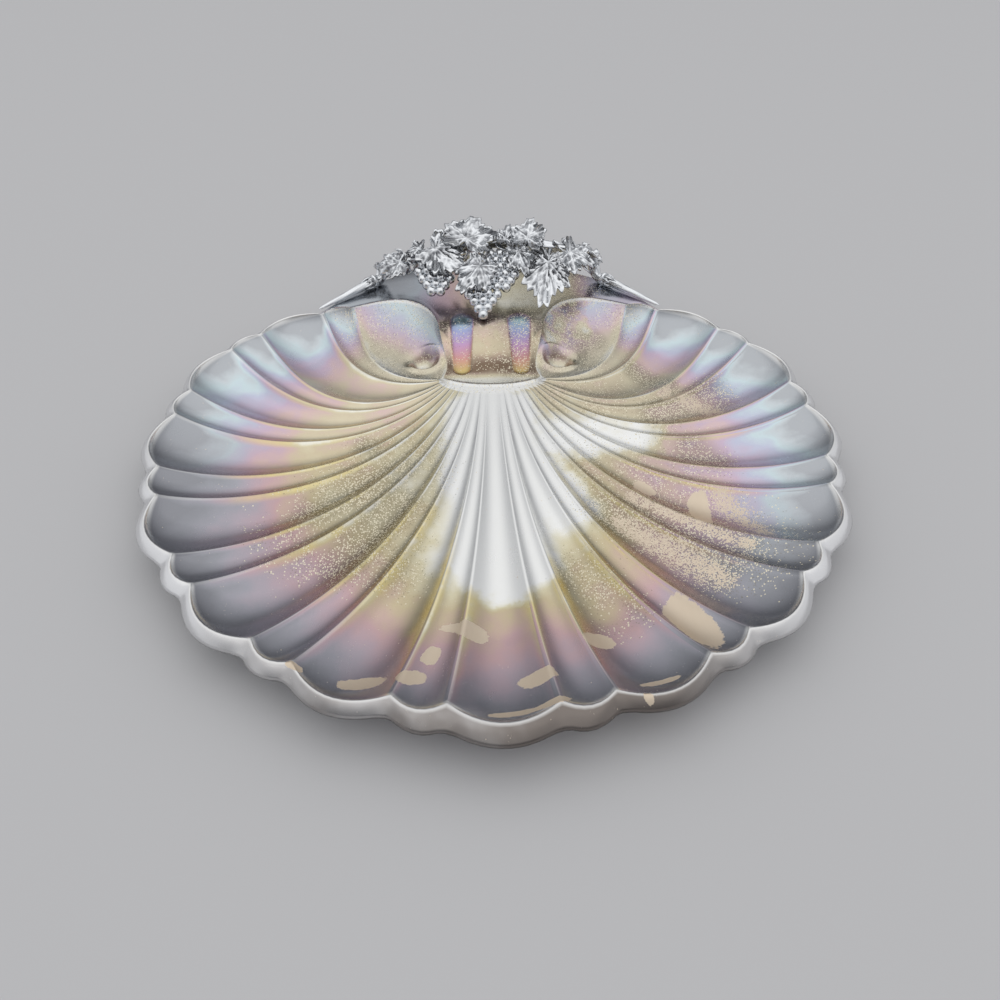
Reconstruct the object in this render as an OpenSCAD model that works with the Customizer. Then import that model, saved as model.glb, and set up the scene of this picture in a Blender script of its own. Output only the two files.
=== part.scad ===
// Shell platter: a fluted scallop tray pressed from sheet, on three cast feet,
// with a cast grapevine of bough, stems, leaves and grapes along the hinge.
// Millimetres, Z up, standing on Z = 0, the hinge and the vine at +Y.

/* [Shell] */
// Diameter of the circle through the notches between the lobes
rim_d = 394; // [370:1:430]
// Height of the rim crest above the table
rim_h = 28; // [26:0.5:36]
// Drop of the ribs from the rim crest to the hinge
bowl_depth = 15; // [10:0.5:16]
// Upright thickness of the sheet
sheet_t = 1.5; // [1:0.1:2]
// Angle that a wide flute takes on the rim
wide_angle = 14.3; // [13.5:0.1:14.6]
// Angle that a narrow flute takes on the rim
narrow_angle = 7.2; // [6.4:0.1:7.5]
// Outward swell of a wide lobe
wide_swell = 10; // [5:0.5:12]
// Outward swell of a narrow lobe
narrow_swell = 5; // [2:0.5:6]
// Depth of a wide flute below its ribs
wide_flute = 8; // [4:0.5:9]
// Depth of a narrow flute below its ribs
narrow_flute = 4; // [2:0.5:6]
// Outward reach of the turned-down skirt
skirt_out = 7.2; // [5:0.2:9]
// Drop of the turned-down skirt
skirt_drop = 5; // [4:0.5:8]
// Extra reach of the skirt on the front lobe
front_lip = 3; // [0:0.5:4]

/* [Hinge] */
// Distance from the back of the rim circle forward to the hinge corners
hinge_depth = 131; // [122:1:140]
// Width between the hinge corners, where the ribs start
hinge_w = 70; // [60:1:80]
// Forward sag of the line on which the ribs start
hinge_sag = 24; // [14:1:30]
// Distance from the back of the rim circle to the inner end of each scroll
scroll_depth = 97; // [92:1:102]
// Outward swell of the scroll lobe
scroll_swell = 26; // [22:1:28]
// Outward reach of the skirt behind the ear
ear_skirt = 3; // [2:0.5:5]
// Height of the raised edge of the scroll
scroll_lip = 1.5; // [0.5:0.1:2]
// Depth of the hollow in the eye of the scroll
eye_depth = 5; // [3:0.5:6]
// Radius of the hollow in the eye of the scroll
eye_r = 10; // [8:0.5:12]
// Depth of the two upright flutes in the column between the scrolls
column_flute = 3; // [1:0.1:3.6]

/* [Feet] */
// Diameter of the pad under the sheet
pad_d = 17; // [12:0.5:20]
// Diameter of the flat that stands on the table
foot_d = 9; // [6:0.5:11]
// Height of the rounded bun
bun_h = 4.4; // [3.5:0.1:5]

/* [Vine] */
// Slope of the face of leaves and grapes
vine_angle = 26.5; // [22:0.5:28]
// Thickness of the bough
bough_d = 9; // [8:0.2:9.6]
// Thickness of each stem at the collar
stem_d = 7.4; // [5:0.2:8]
// Thickness of each stem at its tip
tip_d = 2.2; // [2:0.2:4]
// Diameter of the collar
collar_d = 9.6; // [8.4:0.2:11]
// Diameter of a grape
berry_d = 7.4; // [6.8:0.1:7.8]
// Thickness of a leaf
leaf_t = 1.4; // [1:0.1:1.8]
// Thickness of a leaf stalk
stalk_d = 2.6; // [2:0.1:3]

/* [Fit] */
// Gap of a soldered seat
seat_gap = 0.2; // [0.1:0.05:0.3]

/* [Hidden] */
$fn = 40;
silver = [0.78, 0.77, 0.74];
cast_silver = [0.52, 0.52, 0.53];

rim_r = rim_d / 2;
flutes = 29;
wide_cells = 6;
narrow_cells = 4;
bowl_rows = 9;
hinge_y = rim_r - hinge_depth;
floor_z = rim_h - bowl_depth;
column_top_y = rim_r - 86;
hinge_pull = 27;
back_y = rim_r;
// the whole part is moved so that its outline is centred on the origin
front_reach = rim_r * cos(wide_angle / 2) + wide_swell * 0.85 + skirt_out + front_lip;
shift_y = (front_reach - back_y - ear_skirt) / 2;

function mix(a, b, t) = a * (1 - t) + b * t;
function step01(t) = let (c = min(1, max(0, t))) c * c * (3 - 2 * c);
function is_wide(f) = f % 2 == 0;
function is_scroll(f) = f == 0 || f == flutes - 1;
function cells(f) = is_wide(f) ? wide_cells : narrow_cells;

// rib b runs between flutes b - 1 and b, counted from the left scroll round the front
function side(b) = b < 15 ? -1 : 1;
function rank(b) = b < 15 ? 14 - b : b - 15;
function turn_of(m) = floor(m / 2) * (wide_angle + narrow_angle) + wide_angle / 2 + (m % 2) * narrow_angle;
last_turn = turn_of(13);
function rim_angle(b) = side(b) * turn_of(min(13, rank(b)));
function outward(b) = [sin(rim_angle(b)), -cos(rim_angle(b))];
function notch_r(b) = rim_r - hinge_pull * pow(max(0, (abs(rim_angle(b)) - last_turn + 30) / 30), 1.2);
function is_scroll_rib(b) = rank(b) == 14;
function rib_end(b) = is_scroll_rib(b)
    ? [side(b) * (hinge_w / 2 + 1), rim_r - scroll_depth]
    : notch_r(b) * outward(b);
function rib_start(b) = let (h = 90 * side(b) * (rank(b) + 1) / 15)
    [hinge_w / 2 * sin(h), hinge_y - hinge_sag * cos(h)];
function near_hinge(b) = step01((abs(rim_angle(b)) - last_turn + 24) / 24);
function rib_lead(b) = let (t = abs(rim_angle(b)) * PI / 180,
        h = rim_angle(b) * (0.21 + 0.085 * t) + side(b) * 25 * near_hinge(b))
    is_scroll_rib(b) ? [side(b) * -7, 11] : (138 - 20 * t) * (1 - 0.35 * near_hinge(b)) * rim_r / 197 * [sin(h), -cos(h)];
function rib_tail(b) = let (t = abs(rim_angle(b)) * PI / 180)
    is_scroll_rib(b) ? [side(b) * 4, 11] : (52 - 16 * t) * outward(b);
function rib_xy(b, s) = let (p = rib_start(b), q = rib_end(b))
    pow(1 - s, 3) * p + 3 * s * pow(1 - s, 2) * (p + rib_lead(b))
    + 3 * s * s * (1 - s) * (q - rib_tail(b)) + pow(s, 3) * q;
function rib_z(b, s) = rim_h - bowl_depth * (1 - pow(s, 4)) + (is_scroll_rib(b) ? scroll_lip * s : 0);

// a point of the fluted bowl: flute f, v from -1 to 1 across it, s from the hinge to the rim
function swell_of(f) = is_scroll(f) ? scroll_swell : is_wide(f) ? wide_swell : narrow_swell;
function flute_of(f) = is_wide(f) ? wide_flute : narrow_flute;
function across(f) = let (d = rib_end(f + 1) - rib_end(f)) [d[1], -d[0]] / norm(d);
function flute_end(s) = s < 0.8 ? 1 : sqrt(max(0, 1 - pow((s - 0.8) / 0.2, 2)));
function flute_dip(f, s) = flute_of(f) * pow(min(1, s / 0.7), 1.2) * flute_end(s);
function eye_at(f) = [(f == 0 ? -1 : 1) * (hinge_w / 2 + 13), rim_r - scroll_depth - 13];
function eye_dip(f, p) = is_scroll(f) ? eye_depth * exp(-pow(norm(p - eye_at(f)) / eye_r, 2)) : 0;
function lip(f, v, s) = is_scroll(f)
    ? scroll_lip * s * step01(f == 0 ? (1 - v) / 0.7 : (1 + v) / 0.7) : 0;
function bowl_point(f, v, s) = let (
        t = (v + 1) / 2,
        p = mix(rib_xy(f, s), rib_xy(f + 1, s), t) + across(f) * swell_of(f) * (1 - v * v) * pow(s, 6),
        z = rim_h - bowl_depth * (1 - pow(s, 4)) + lip(f, v, s)
            - flute_dip(f, s) * (1 - v * v) - (s < 1 ? eye_dip(f, p) * (1 - pow(s, 8)) : 0))
    [p[0], p[1], z];

// columns and rows of the bowl
function row_s(j) = 1 - pow(1 - j / bowl_rows, 1.5);
columns = concat([for (f = [0:flutes - 1]) for (k = [0:cells(f) - 1]) [f, 2 * k / cells(f) - 1]],
    [[flutes - 1, 1]]);
column_count = len(columns);
bowl = [for (j = [1:bowl_rows]) [for (c = columns) bowl_point(c[0], c[1], row_s(j))]];
start_line = [for (b = [0:flutes]) concat(rib_start(b), [floor_z])];
function first_column(b) = let (w = ceil(b / 2), n = floor(b / 2)) w * wide_cells + n * narrow_cells;

// the fluted column that rises from the hinge between the scrolls
function column_z(y) = mix(floor_z, rim_h, step01((y - hinge_y + 4) / (column_top_y - hinge_y + 4)));
function column_dip(x, y) = let (u = (abs(x) - 20) / 8, w = (y - hinge_y) / (column_top_y - hinge_y))
    abs(u) < 1 && w > 0 && w < 1 ? column_flute * (1 - u * u) * min(1, sqrt(w / 0.25)) * (1 - w * w) : 0;
function column_point(b, j) = let (s = row_s(j), l = rib_xy(0, s), r = rib_xy(flutes, s),
        t = 0.5 + rib_start(b)[0] / hinge_w,
        p = mix(l, r, t) + (rib_start(b) - mix(rib_start(0), rib_start(flutes), t)) * pow(1 - s, 2),
        edge = max(0, 1 - min(t, 1 - t) / 0.08))
    [p[0], p[1], column_z(p[1]) - column_dip(p[0], p[1]) + (rib_z(0, s) - column_z(l[1])) * edge];
column = concat([start_line], [for (j = [1:bowl_rows]) concat([bowl[j - 1][0]],
    [for (b = [1:flutes - 1]) column_point(b, j)], [bowl[j - 1][column_count - 1]])]);

// the flat ear behind the scrolls and the column
ear_from = first_column(2);
ear_to = first_column(flutes - 2);
crest = bowl[bowl_rows - 1];
ear_inner = concat(
    [for (c = [ear_from:-1:1]) crest[c]],
    column[bowl_rows],
    [for (c = [column_count - 2:-1:ear_to]) crest[c]]);
ear_last = len(ear_inner) - 1;
ear_half = ear_last / 2;
ear_x = abs(crest[ear_from][0]);
ear_y = crest[ear_from][1];
function edge_x(q) = let (m = abs(q - ear_half), a = flutes / 2)
    (q < ear_half ? -1 : 1) * (m < a ? 40 * m / a : mix(40, ear_x, (m - a) / (ear_half - a)));
function edge_y(x) = back_y - (back_y - ear_y) * pow(abs(x) / ear_x, 3);
ear_edge = [for (q = [0:ear_last]) [edge_x(q), edge_y(edge_x(q)), rim_h]];
function ear_point(q, w) = let (a = ear_inner[q], e = ear_edge[q], x = mix(a[0], e[0], w), y = mix(a[1], e[1], w))
    w == 0 || q == 0 || q == ear_last ? a : w == 1 ? e
    : [x, y, column_z(y) + (a[2] - column_z(a[1])) * max(0, 1 - w / 0.2)];
ear_rows = [0, 0.1, 0.2, 0.5, 1];
ear = [for (w = ear_rows) [for (q = [0:ear_last]) ear_point(q, w)]];

// the crest all the way round and the skirt below it
function ear_out(q) = let (u = edge_x(q) / ear_x, h = (180 - rim_angle(27)) * u)
    mix(ear_skirt, skirt_out, pow(abs(u), 6)) * [sin(h), cos(h)];
function skirt_way(c) = let (f = columns[c][0], v = columns[c][1])
    v == -1 ? let (s = across(f) + across(f - 1)) s / norm(s) : across(f);
function notch_out(c) = let (f = columns[c][0], v = columns[c][1])
    skirt_way(c) * (skirt_out - 0.15 * swell_of(f) * (1 - v * v)
    + front_lip * (1 - step01((abs(f + v / 2 - 14) - 0.5) / 1.2)));
loop = concat(
    [for (c = [ear_from:ear_to]) [crest[c], c == ear_from ? ear_out(0)
        : c == ear_to ? ear_out(ear_last) : notch_out(c)]],
    [for (q = [ear_last - 1:-1:1]) [ear_edge[q], ear_out(q)]]);
skirt_rows = [[0, 0], [0.5, 0.3], [1, 1]];
skirt = [for (r = skirt_rows) [for (e = loop) e[0] + concat(e[1] * r[0], [-skirt_drop * r[1]])]];

// faces over a sheet of points, as triples of points
function quads(m, closed) = let (n = len(m[0]))
    [for (j = [0:len(m) - 2]) for (c = [0:n - (closed ? 1 : 2)]) let (d = (c + 1) % n)
        each [[m[j][c], m[j + 1][c], m[j][d]], [m[j][d], m[j + 1][c], m[j + 1][d]]]];
function fan_start() = [for (f = [0:flutes - 1]) let (c = first_column(f), n = cells(f), h = n / 2) each concat(
    [for (k = [0:n - 1]) [k < h ? start_line[f] : start_line[f + 1], bowl[0][c + k], bowl[0][c + k + 1]]],
    [[start_line[f], bowl[0][c + h], start_line[f + 1]]])];
function sound(list) = [for (t = list) if (t[0] != t[1] && t[1] != t[2] && t[0] != t[2]) t];
function turned(list) = [for (t = list) [t[0], t[2], t[1]]];
upper = sound(concat(fan_start(), quads(bowl, false), turned(quads(column, false)),
    turned(quads(ear, false)), quads(skirt, true)));
function lower(t) = [t[0] - [0, 0, sheet_t], t[2] - [0, 0, sheet_t], t[1] - [0, 0, sheet_t]];
hem = skirt[len(skirt) - 1];
hem_faces = [for (c = [0:len(hem) - 1]) let (a = hem[c], b = hem[(c + 1) % len(hem)], d = [0, 0, sheet_t])
    each [[a, a - d, b], [b, a - d, b - d]]];

module triangles(list) {
    polyhedron([for (t = list) each t], [for (i = [0:len(list) - 1]) [3 * i + 2, 3 * i + 1, 3 * i]]);
}

module shell() {
    color(silver)
        translate([0, shift_y, 0])
            triangles(concat(upper, [for (t = upper) lower(t)], hem_faces));
}

// a cast foot soldered under the floor of flute f
foot_s = 0.6;
module foot(f) {
    p = bowl_point(f, 0, foot_s);
    top = p[2] - sheet_t - seat_gap;
    color(cast_silver)
        translate([p[0], p[1] + shift_y, 0]) {
            cylinder(d = foot_d, h = top);
            translate([0, 0, bun_h / 2 + 0.1])
                rotate_extrude()
                    translate([foot_d / 2, 0])
                        circle(d = bun_h);
            translate([0, 0, bun_h])
                cylinder(d1 = foot_d + 1, d2 = pad_d, h = top - bun_h);
        }
}
module foot_front() foot(14);
module foot_left() foot(2);
module foot_right() foot(26);

// a round rod from p to q
module rod(p, q, r1, r2) {
    d = q - p;
    translate(p)
        rotate([0, acos(d[2] / norm(d)), atan2(d[1], d[0])])
            cylinder(r1 = r1, r2 = r2, h = norm(d));
}

// stems lie on the back edge of the ear, from the notch to the collar
collar_x = 87;
collar_xy = [collar_x, edge_y(collar_x) - 5];
notch_xy = [crest[ear_to][0], crest[ear_to][1]];
tip_xy = notch_xy + [2.5, 4];
run = (collar_xy - tip_xy) / norm(collar_xy - tip_xy);
module stem(m) {
    lift = rim_h + seat_gap;
    p = [m * tip_xy[0], tip_xy[1] + shift_y, lift + tip_d / 2];
    q = [m * collar_xy[0], collar_xy[1] + shift_y, lift + collar_d / 2 + 0.3];
    u = (q - p) / norm(q - p);
    color(cast_silver)
        union() {
            rod(p, q, tip_d / 2, stem_d / 2);
            rod(q - u * 3, q, collar_d / 2, collar_d / 2);
        }
}
module stem_left() stem(-1);
module stem_right() stem(1);

// the bough rises from one collar, runs along the back and comes down to the other
bough_foot = [collar_xy[0] + run[0] * 0.6, collar_xy[1] - rim_r + run[1] * 0.6, bough_d * 0.445 + seat_gap];
bough_rise = [bough_foot, bough_foot + [run[0] * 4, run[1] * 4, 0.6]];
bough_right = concat(bough_rise, [[81, -22, 11], [78, -25, 19], [71, -27, 26], [51, -26, 28], [26, -23, 30],
    [0, -21, 31]]);
bough_left = concat(bough_rise, [[82, -22, 9.5], [78, -25, 15.5], [70, -27, 20], [51, -26, 22.5], [26, -23, 28]]);
bough_last = len(bough_right) + len(bough_left) - 1;
function bough_knot(i) = let (right = i < len(bough_right), p = right ? bough_right[i] : bough_left[bough_last - i])
    [right ? p[0] : -p[0], rim_r + p[1] + shift_y, rim_h + p[2]];
function bough_at(t) = let (i = min(bough_last - 1, floor(t)), u = t - i, a = bough_knot(max(0, i - 1)),
        b = bough_knot(i), c = bough_knot(i + 1), d = bough_knot(min(bough_last, i + 2)))
    0.5 * (2 * b + (c - a) * u + (2 * a - 5 * b + 4 * c - d) * u * u + (3 * b - a - 3 * c + d) * pow(u, 3));
function bough_r(t) = let (e = min(t, bough_last - t))
    bough_d / 2 * (0.84 + 0.16 * step01(e / 2)) * (1 + 0.05 * sin(230 * t));
bough_sides = 10;
bough_steps = 42;
function bough_ring(k) = let (t = bough_last * k / bough_steps, p = bough_at(t),
        d = bough_at(min(bough_last, t + 0.05)) - bough_at(max(0, t - 0.05)), u = d / norm(d),
        e = cross(u, [0, 1, 0]), n = e / norm(e), b = cross(u, n))
    [for (i = [0:bough_sides - 1]) p + bough_r(t) * (n * cos(360 * i / bough_sides) + b * sin(360 * i / bough_sides))];
module bough() {
    rings = [for (k = [0:bough_steps]) bough_ring(k)];
    ends = [rings[0], rings[bough_steps]];
    color(cast_silver)
        triangles(turned(concat(quads(rings, true),
            [for (i = [1:bough_sides - 2]) [ends[0][0], ends[0][i], ends[0][i + 1]]],
            [for (i = [1:bough_sides - 2]) [ends[1][0], ends[1][i + 1], ends[1][i]]])));
}

// the sloping face: x across, d up the slope, h out of it
vine_y = rim_r - 89 + shift_y;
vine_z = rim_h + 4;
function on_face(x, d, h) = [x, vine_y + d * cos(vine_angle) - h * sin(vine_angle),
    vine_z + d * sin(vine_angle) + h * cos(vine_angle)];
// the seat of a stalk on the bough, seen from p, further out where the stalk leans along the bough
function bough_seat(p, t) = let (c = bough_at(t), d = p - c, u = d / norm(d),
        w = bough_at(t + 0.05) - bough_at(t - 0.05), k = u * w / norm(w))
    c + u * (bough_r(t) + seat_gap + 0.15 + stalk_d / 2 * abs(k)) / sqrt(1 - k * k);
module stalk(p, t) {
    rod(bough_seat(p, t), p, stalk_d / 2, stalk_d / 2);
}

// a bunch of grapes: rows of berries on the face, row by row up the slope
berry_pitch = berry_d * 0.9;
function row_x(rows, i, k) = rows[i][1] + (k - (rows[i][0] - 1) / 2) * berry_pitch;
module bunch(rows, d0, sink, dome, half) {
    for (i = [0:len(rows) - 1])
        for (k = [0:rows[i][0] - 1]) {
            x = row_x(rows, i, k);
            h = dome * (1 - pow((x - rows[i][1]) / half, 2));
            translate(on_face(x, d0 + i * berry_pitch * 0.87, h - sink))
                sphere(d = berry_d);
        }
}
centre_rows = [[1, -5], [2, -5], [3, -5], [4, -5], [5, -1.7], [6, -1.7], [6, 1.6], [6, 5], [4, 8.3], [3, 8.3]];
left_rows = [[2, -39], [3, -39], [4, -39], [4, -42.3], [3, -42.3], [2, -42.3]];
module grapes_centre() {
    color(cast_silver)
        union() {
            bunch(centre_rows, 8, 7, 3, 24);
            stalk(on_face(8.3, 58.5, -5), 6.68);
        }
}
module grapes_left() {
    color(cast_silver)
        union() {
            bunch(left_rows, 29, 8, 3, 18);
            stalk(on_face(-42.3, 54, -6), 8.66);
        }
}

// a vine leaf with five lobes, a from its tip round to its stalk
leaf_spokes = 40;
leaf_rings = 3;
function leaf_reach(a) = let (e = abs(a)) (1 - 0.36 * e / 115) * (1 - 0.11 * (1 - cos(360 * e / 57.5)))
    * (1 - 0.72 * step01((e - 122) / 58));
function leaf_point(size, form, a, q) = let (r = q * leaf_reach(a), x = r * sin(a), y = r * cos(a))
    [size[1] * x, size[0] * y, form[0] * y * abs(y) + form[1] * x * x + form[2] * x
    + 0.9 * q * (1 - q) * cos(360 * a / 57.5)];
module leaf(size, form) {
    spokes = [for (i = [0:leaf_spokes - 1]) 360 * i / leaf_spokes - 180];
    rings = [for (k = [0:leaf_rings]) [for (a = spokes) leaf_point(size, form, a, k / leaf_rings)]];
    top = sound(quads(rings, true));
    rim = rings[leaf_rings];
    drop = [0, 0, leaf_t];
    triangles(concat(turned(top),
        [for (t = top) [t[0] - drop, t[1] - drop, t[2] - drop]],
        [for (i = [0:leaf_spokes - 1]) let (a = rim[i], b = rim[(i + 1) % leaf_spokes])
            each [[a, b, a - drop], [b, b - drop, a - drop]]]));
}
// a leaf on the face: base point, heading of the tip, tilt, size, form and the bough seat of its stalk
module vine_leaf(base, heading, tilt, size, form, seat) {
    color(cast_silver)
        union() {
            translate(on_face(base[0], base[1], base[2]))
                rotate([vine_angle, 0, 0])
                    rotate([0, 0, heading])
                        rotate([tilt, 0, 0])
                            leaf(size, form);
            stalk(on_face(base[0], base[1], base[2] - leaf_t / 2), seat);
        }
}
module leaf_crown() vine_leaf([-16.5, 66, 6.9], -16, -2, [27, 28], [-4, -5, 0], 7.6);
module leaf_left() vine_leaf([-39.5, 60, 4], -128, -1, [30, 25], [-3, -4, 0], 8.5);
module leaf_centre() vine_leaf([-7, 42, 7.6], 142, -3, [26, 20], [-3, -4, 0], 7.15);
module leaf_right() vine_leaf([43.2, 48, 2.2], 172, -4, [36, 24], [-4, -4, 0], 5.2);
module leaf_peak() vine_leaf([12.5, 69, 2.6], -8, 0, [17, 12], [-3, -3, 0], 6.5);
module leaf_crest() vine_leaf([28, 62.5, 11.2], -8, 2, [22, 18], [-4, -4, 0], 5.7);
module leaf_fold() vine_leaf([21.4, 55, 6.4], -160, -4, [18, 14], [-3, -4, 0], 6.25);
module leaf_shoulder() vine_leaf([-51.5, 62.4, 1.6], 82, -4, [11, 10], [-3, -3, 0], 9.1);
module leaf_left_end() vine_leaf([-66, 53, -3], 100, -6, [17, 15], [-3, -3, 0], 9.75);
module leaf_right_end() vine_leaf([58.5, 50, 10.8], -112, -6, [20, 20], [-4, -3, 0], 4.6);

shell();
foot_front();
foot_left();
foot_right();
stem_left();
stem_right();
bough();
grapes_left();
grapes_centre();
leaf_crown();
leaf_left();
leaf_centre();
leaf_right();
leaf_peak();
leaf_crest();
leaf_fold();
leaf_shoulder();
leaf_left_end();
leaf_right_end();
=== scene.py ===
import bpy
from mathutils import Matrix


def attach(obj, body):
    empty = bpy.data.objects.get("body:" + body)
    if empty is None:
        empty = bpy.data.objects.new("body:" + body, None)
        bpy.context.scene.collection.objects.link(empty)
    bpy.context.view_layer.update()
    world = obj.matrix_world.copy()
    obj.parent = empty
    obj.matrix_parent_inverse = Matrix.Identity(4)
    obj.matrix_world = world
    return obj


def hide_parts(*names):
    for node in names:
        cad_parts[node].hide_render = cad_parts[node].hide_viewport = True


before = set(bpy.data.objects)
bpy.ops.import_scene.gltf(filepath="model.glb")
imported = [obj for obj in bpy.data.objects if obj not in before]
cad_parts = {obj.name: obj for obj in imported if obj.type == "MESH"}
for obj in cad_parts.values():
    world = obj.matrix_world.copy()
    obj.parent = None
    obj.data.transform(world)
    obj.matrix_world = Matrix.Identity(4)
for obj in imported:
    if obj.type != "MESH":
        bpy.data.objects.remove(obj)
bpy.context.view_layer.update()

import math
import random
from types import SimpleNamespace

import bmesh
import bpy
from mathutils import Matrix, Vector, noise

mm = 0.001
scene = bpy.context.scene
scene.view_settings.view_transform = "Standard"


def dsin(angle):
    return math.sin(math.radians(angle))


def dcos(angle):
    return math.cos(math.radians(angle))


def mix(a, b, t):
    return a + (b - a) * t


def step01(t):
    c = min(1.0, max(0.0, t))
    return c * c * (3 - 2 * c)


# 1 at the middle value, soft to both sides
def bell(value, middle, width):
    return math.exp(-((value - middle) / width) ** 2)


def turned(angle, axis):
    return Matrix.Rotation(math.radians(angle), 4, axis)


# camera at the photograph's place
photoView = {"place": (-0.00765, -0.36272, 0.31640), "tilt": 46, "turn": -1.797, "roll": 0.27, "lens": 27.36,
             "sensor": 36, "nearest": 0.01}


def makeCamera(view):
    camera = bpy.data.objects.new("photoCamera", bpy.data.cameras.new("photoCamera"))
    scene.collection.objects.link(camera)
    camera.data.sensor_width = view["sensor"]
    camera.data.lens = view["lens"]
    camera.data.clip_start = view["nearest"]
    camera.matrix_world = (Matrix.Translation(view["place"]) @ turned(view["turn"], "Z")
                           @ turned(view["tilt"], "X") @ turned(view["roll"], "Z"))
    scene.camera = camera


makeCamera(photoView)
print("camera set")


# node helpers
def put(tree, kind, sockets=None, **settings):
    item = tree.nodes.new("ShaderNode" + kind)
    for key, value in settings.items():
        setattr(item, key, value)
    for key, value in (sockets or {}).items():
        if isinstance(value, bpy.types.NodeSocket):
            tree.links.new(value, item.inputs[key])
        else:
            item.inputs[key].default_value = value
    return item


def calc(tree, operation, *values, clamp=False):
    return put(tree, "Math", dict(enumerate(values)), operation=operation, use_clamp=clamp).outputs[0]


def plus(tree, first, *others):
    for other in others:
        first = calc(tree, "ADD", first, other)
    return first


def times(tree, first, *others):
    for other in others:
        first = calc(tree, "MULTIPLY", first, other)
    return first


def without(tree, share):
    return calc(tree, "SUBTRACT", 1.0, share)


# a noise's swing to both sides of its middle
def swing(tree, value, amount, middle=0.5):
    return times(tree, calc(tree, "SUBTRACT", value, middle), amount)


def fade(tree, value, low, high, start=0.0, end=1.0, style="SMOOTHSTEP"):
    sockets = {"Value": value, "From Min": low, "From Max": high, "To Min": start, "To Max": end}
    return put(tree, "MapRange", sockets, interpolation_type=style).outputs[0]


def mixValue(tree, share, first, second):
    return put(tree, "Mix", {0: share, 2: first, 3: second}, data_type="FLOAT").outputs[0]


def blendColour(tree, share, first, second):
    return put(tree, "Mix", {0: share, 6: first, 7: second}, data_type="RGBA").outputs[2]


def ramp(tree, value, stops):
    item = put(tree, "ValToRGB", {0: value})
    marks = item.color_ramp.elements
    while len(marks) < len(stops):
        marks.new(0.5)
    for mark, (place, colour) in zip(marks, stops):
        mark.position = place
        mark.color = (*colour, 1)
    return item.outputs[0]


def noiseAt(tree, place, scale, detail, roughness=0.5):
    sockets = {"Vector": place, "Scale": scale, "Detail": detail, "Roughness": roughness}
    return put(tree, "TexNoise", sockets).outputs[0]


def splitVector(tree, vector):
    return put(tree, "SeparateXYZ", {0: vector}).outputs


def readLayer(tree, name, kind="Fac"):
    return put(tree, "Attribute", attribute_name=name).outputs[kind]


def newMaterial(name):
    material = bpy.data.materials.new(name)
    material.use_nodes = True
    tree = material.node_tree
    tree.nodes.clear()
    shader = put(tree, "BsdfPrincipled")
    put(tree, "OutputMaterial", {"Surface": shader.outputs[0]})
    return material, tree, shader


# metal all over, with a fine bump
def wireSilver(tree, shader, colour, rough, height, bump):
    strength, distance = bump
    relief = put(tree, "Bump", {"Height": height, "Strength": strength, "Distance": distance}).outputs[0]
    for socket, value in (("Base Color", colour), ("Roughness", rough), ("Normal", relief)):
        tree.links.new(value, shader.inputs[socket])
    shader.inputs["Metallic"].default_value = 1.0


# polishing scratches and handling haze, shared by every silver finish; noises have scale, detail, roughness
handling = {"cloud": (38.0, 5.0, 0.6), "pit": (900.0, 2.0), "streak": (3.0, 3.0),
            # two sets of scratches: turn and stretch
            "scratches": [(0.35, (260, 14, 60)), (-1.0, (300, 18, 60))],
            "cloudHaze": 0.7, "streakHaze": 0.3, "streakHeight": 0.35, "pitHeight": 0.3}


def makeHandlingMarks(look):
    tree = bpy.data.node_groups.new("handlingMarks", "ShaderNodeTree")
    tree.interface.new_socket("Place", in_out="INPUT", socket_type="NodeSocketVector")
    tree.interface.new_socket("Grain", in_out="INPUT", socket_type="NodeSocketFloat").default_value = 1.0
    for label in ("Haze", "Height"):
        tree.interface.new_socket(label, in_out="OUTPUT", socket_type="NodeSocketFloat")
    given, result = tree.nodes.new("NodeGroupInput").outputs, tree.nodes.new("NodeGroupOutput").inputs
    spot = put(tree, "VectorMath", {0: given["Place"], "Scale": given["Grain"]}, operation="SCALE").outputs[0]
    streaks = []
    for turn, stretch in look["scratches"]:
        drawn = put(tree, "Mapping", {"Vector": spot, "Rotation": (0, 0, turn), "Scale": stretch}).outputs[0]
        streaks.append(noiseAt(tree, drawn, *look["streak"]))
    haze = plus(tree, times(tree, noiseAt(tree, spot, *look["cloud"]), look["cloudHaze"]),
                times(tree, streaks[0], look["streakHaze"]))
    height = plus(tree, *(times(tree, streak, look["streakHeight"]) for streak in streaks),
                  times(tree, noiseAt(tree, spot, *look["pit"]), look["pitHeight"]))
    tree.links.new(haze, result["Haze"])
    tree.links.new(height, result["Height"])
    return tree


handlingMarks = makeHandlingMarks(handling)


def useMarks(tree, place, grain):
    return put(tree, "Group", {"Place": place, "Grain": grain}, node_tree=handlingMarks).outputs


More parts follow.
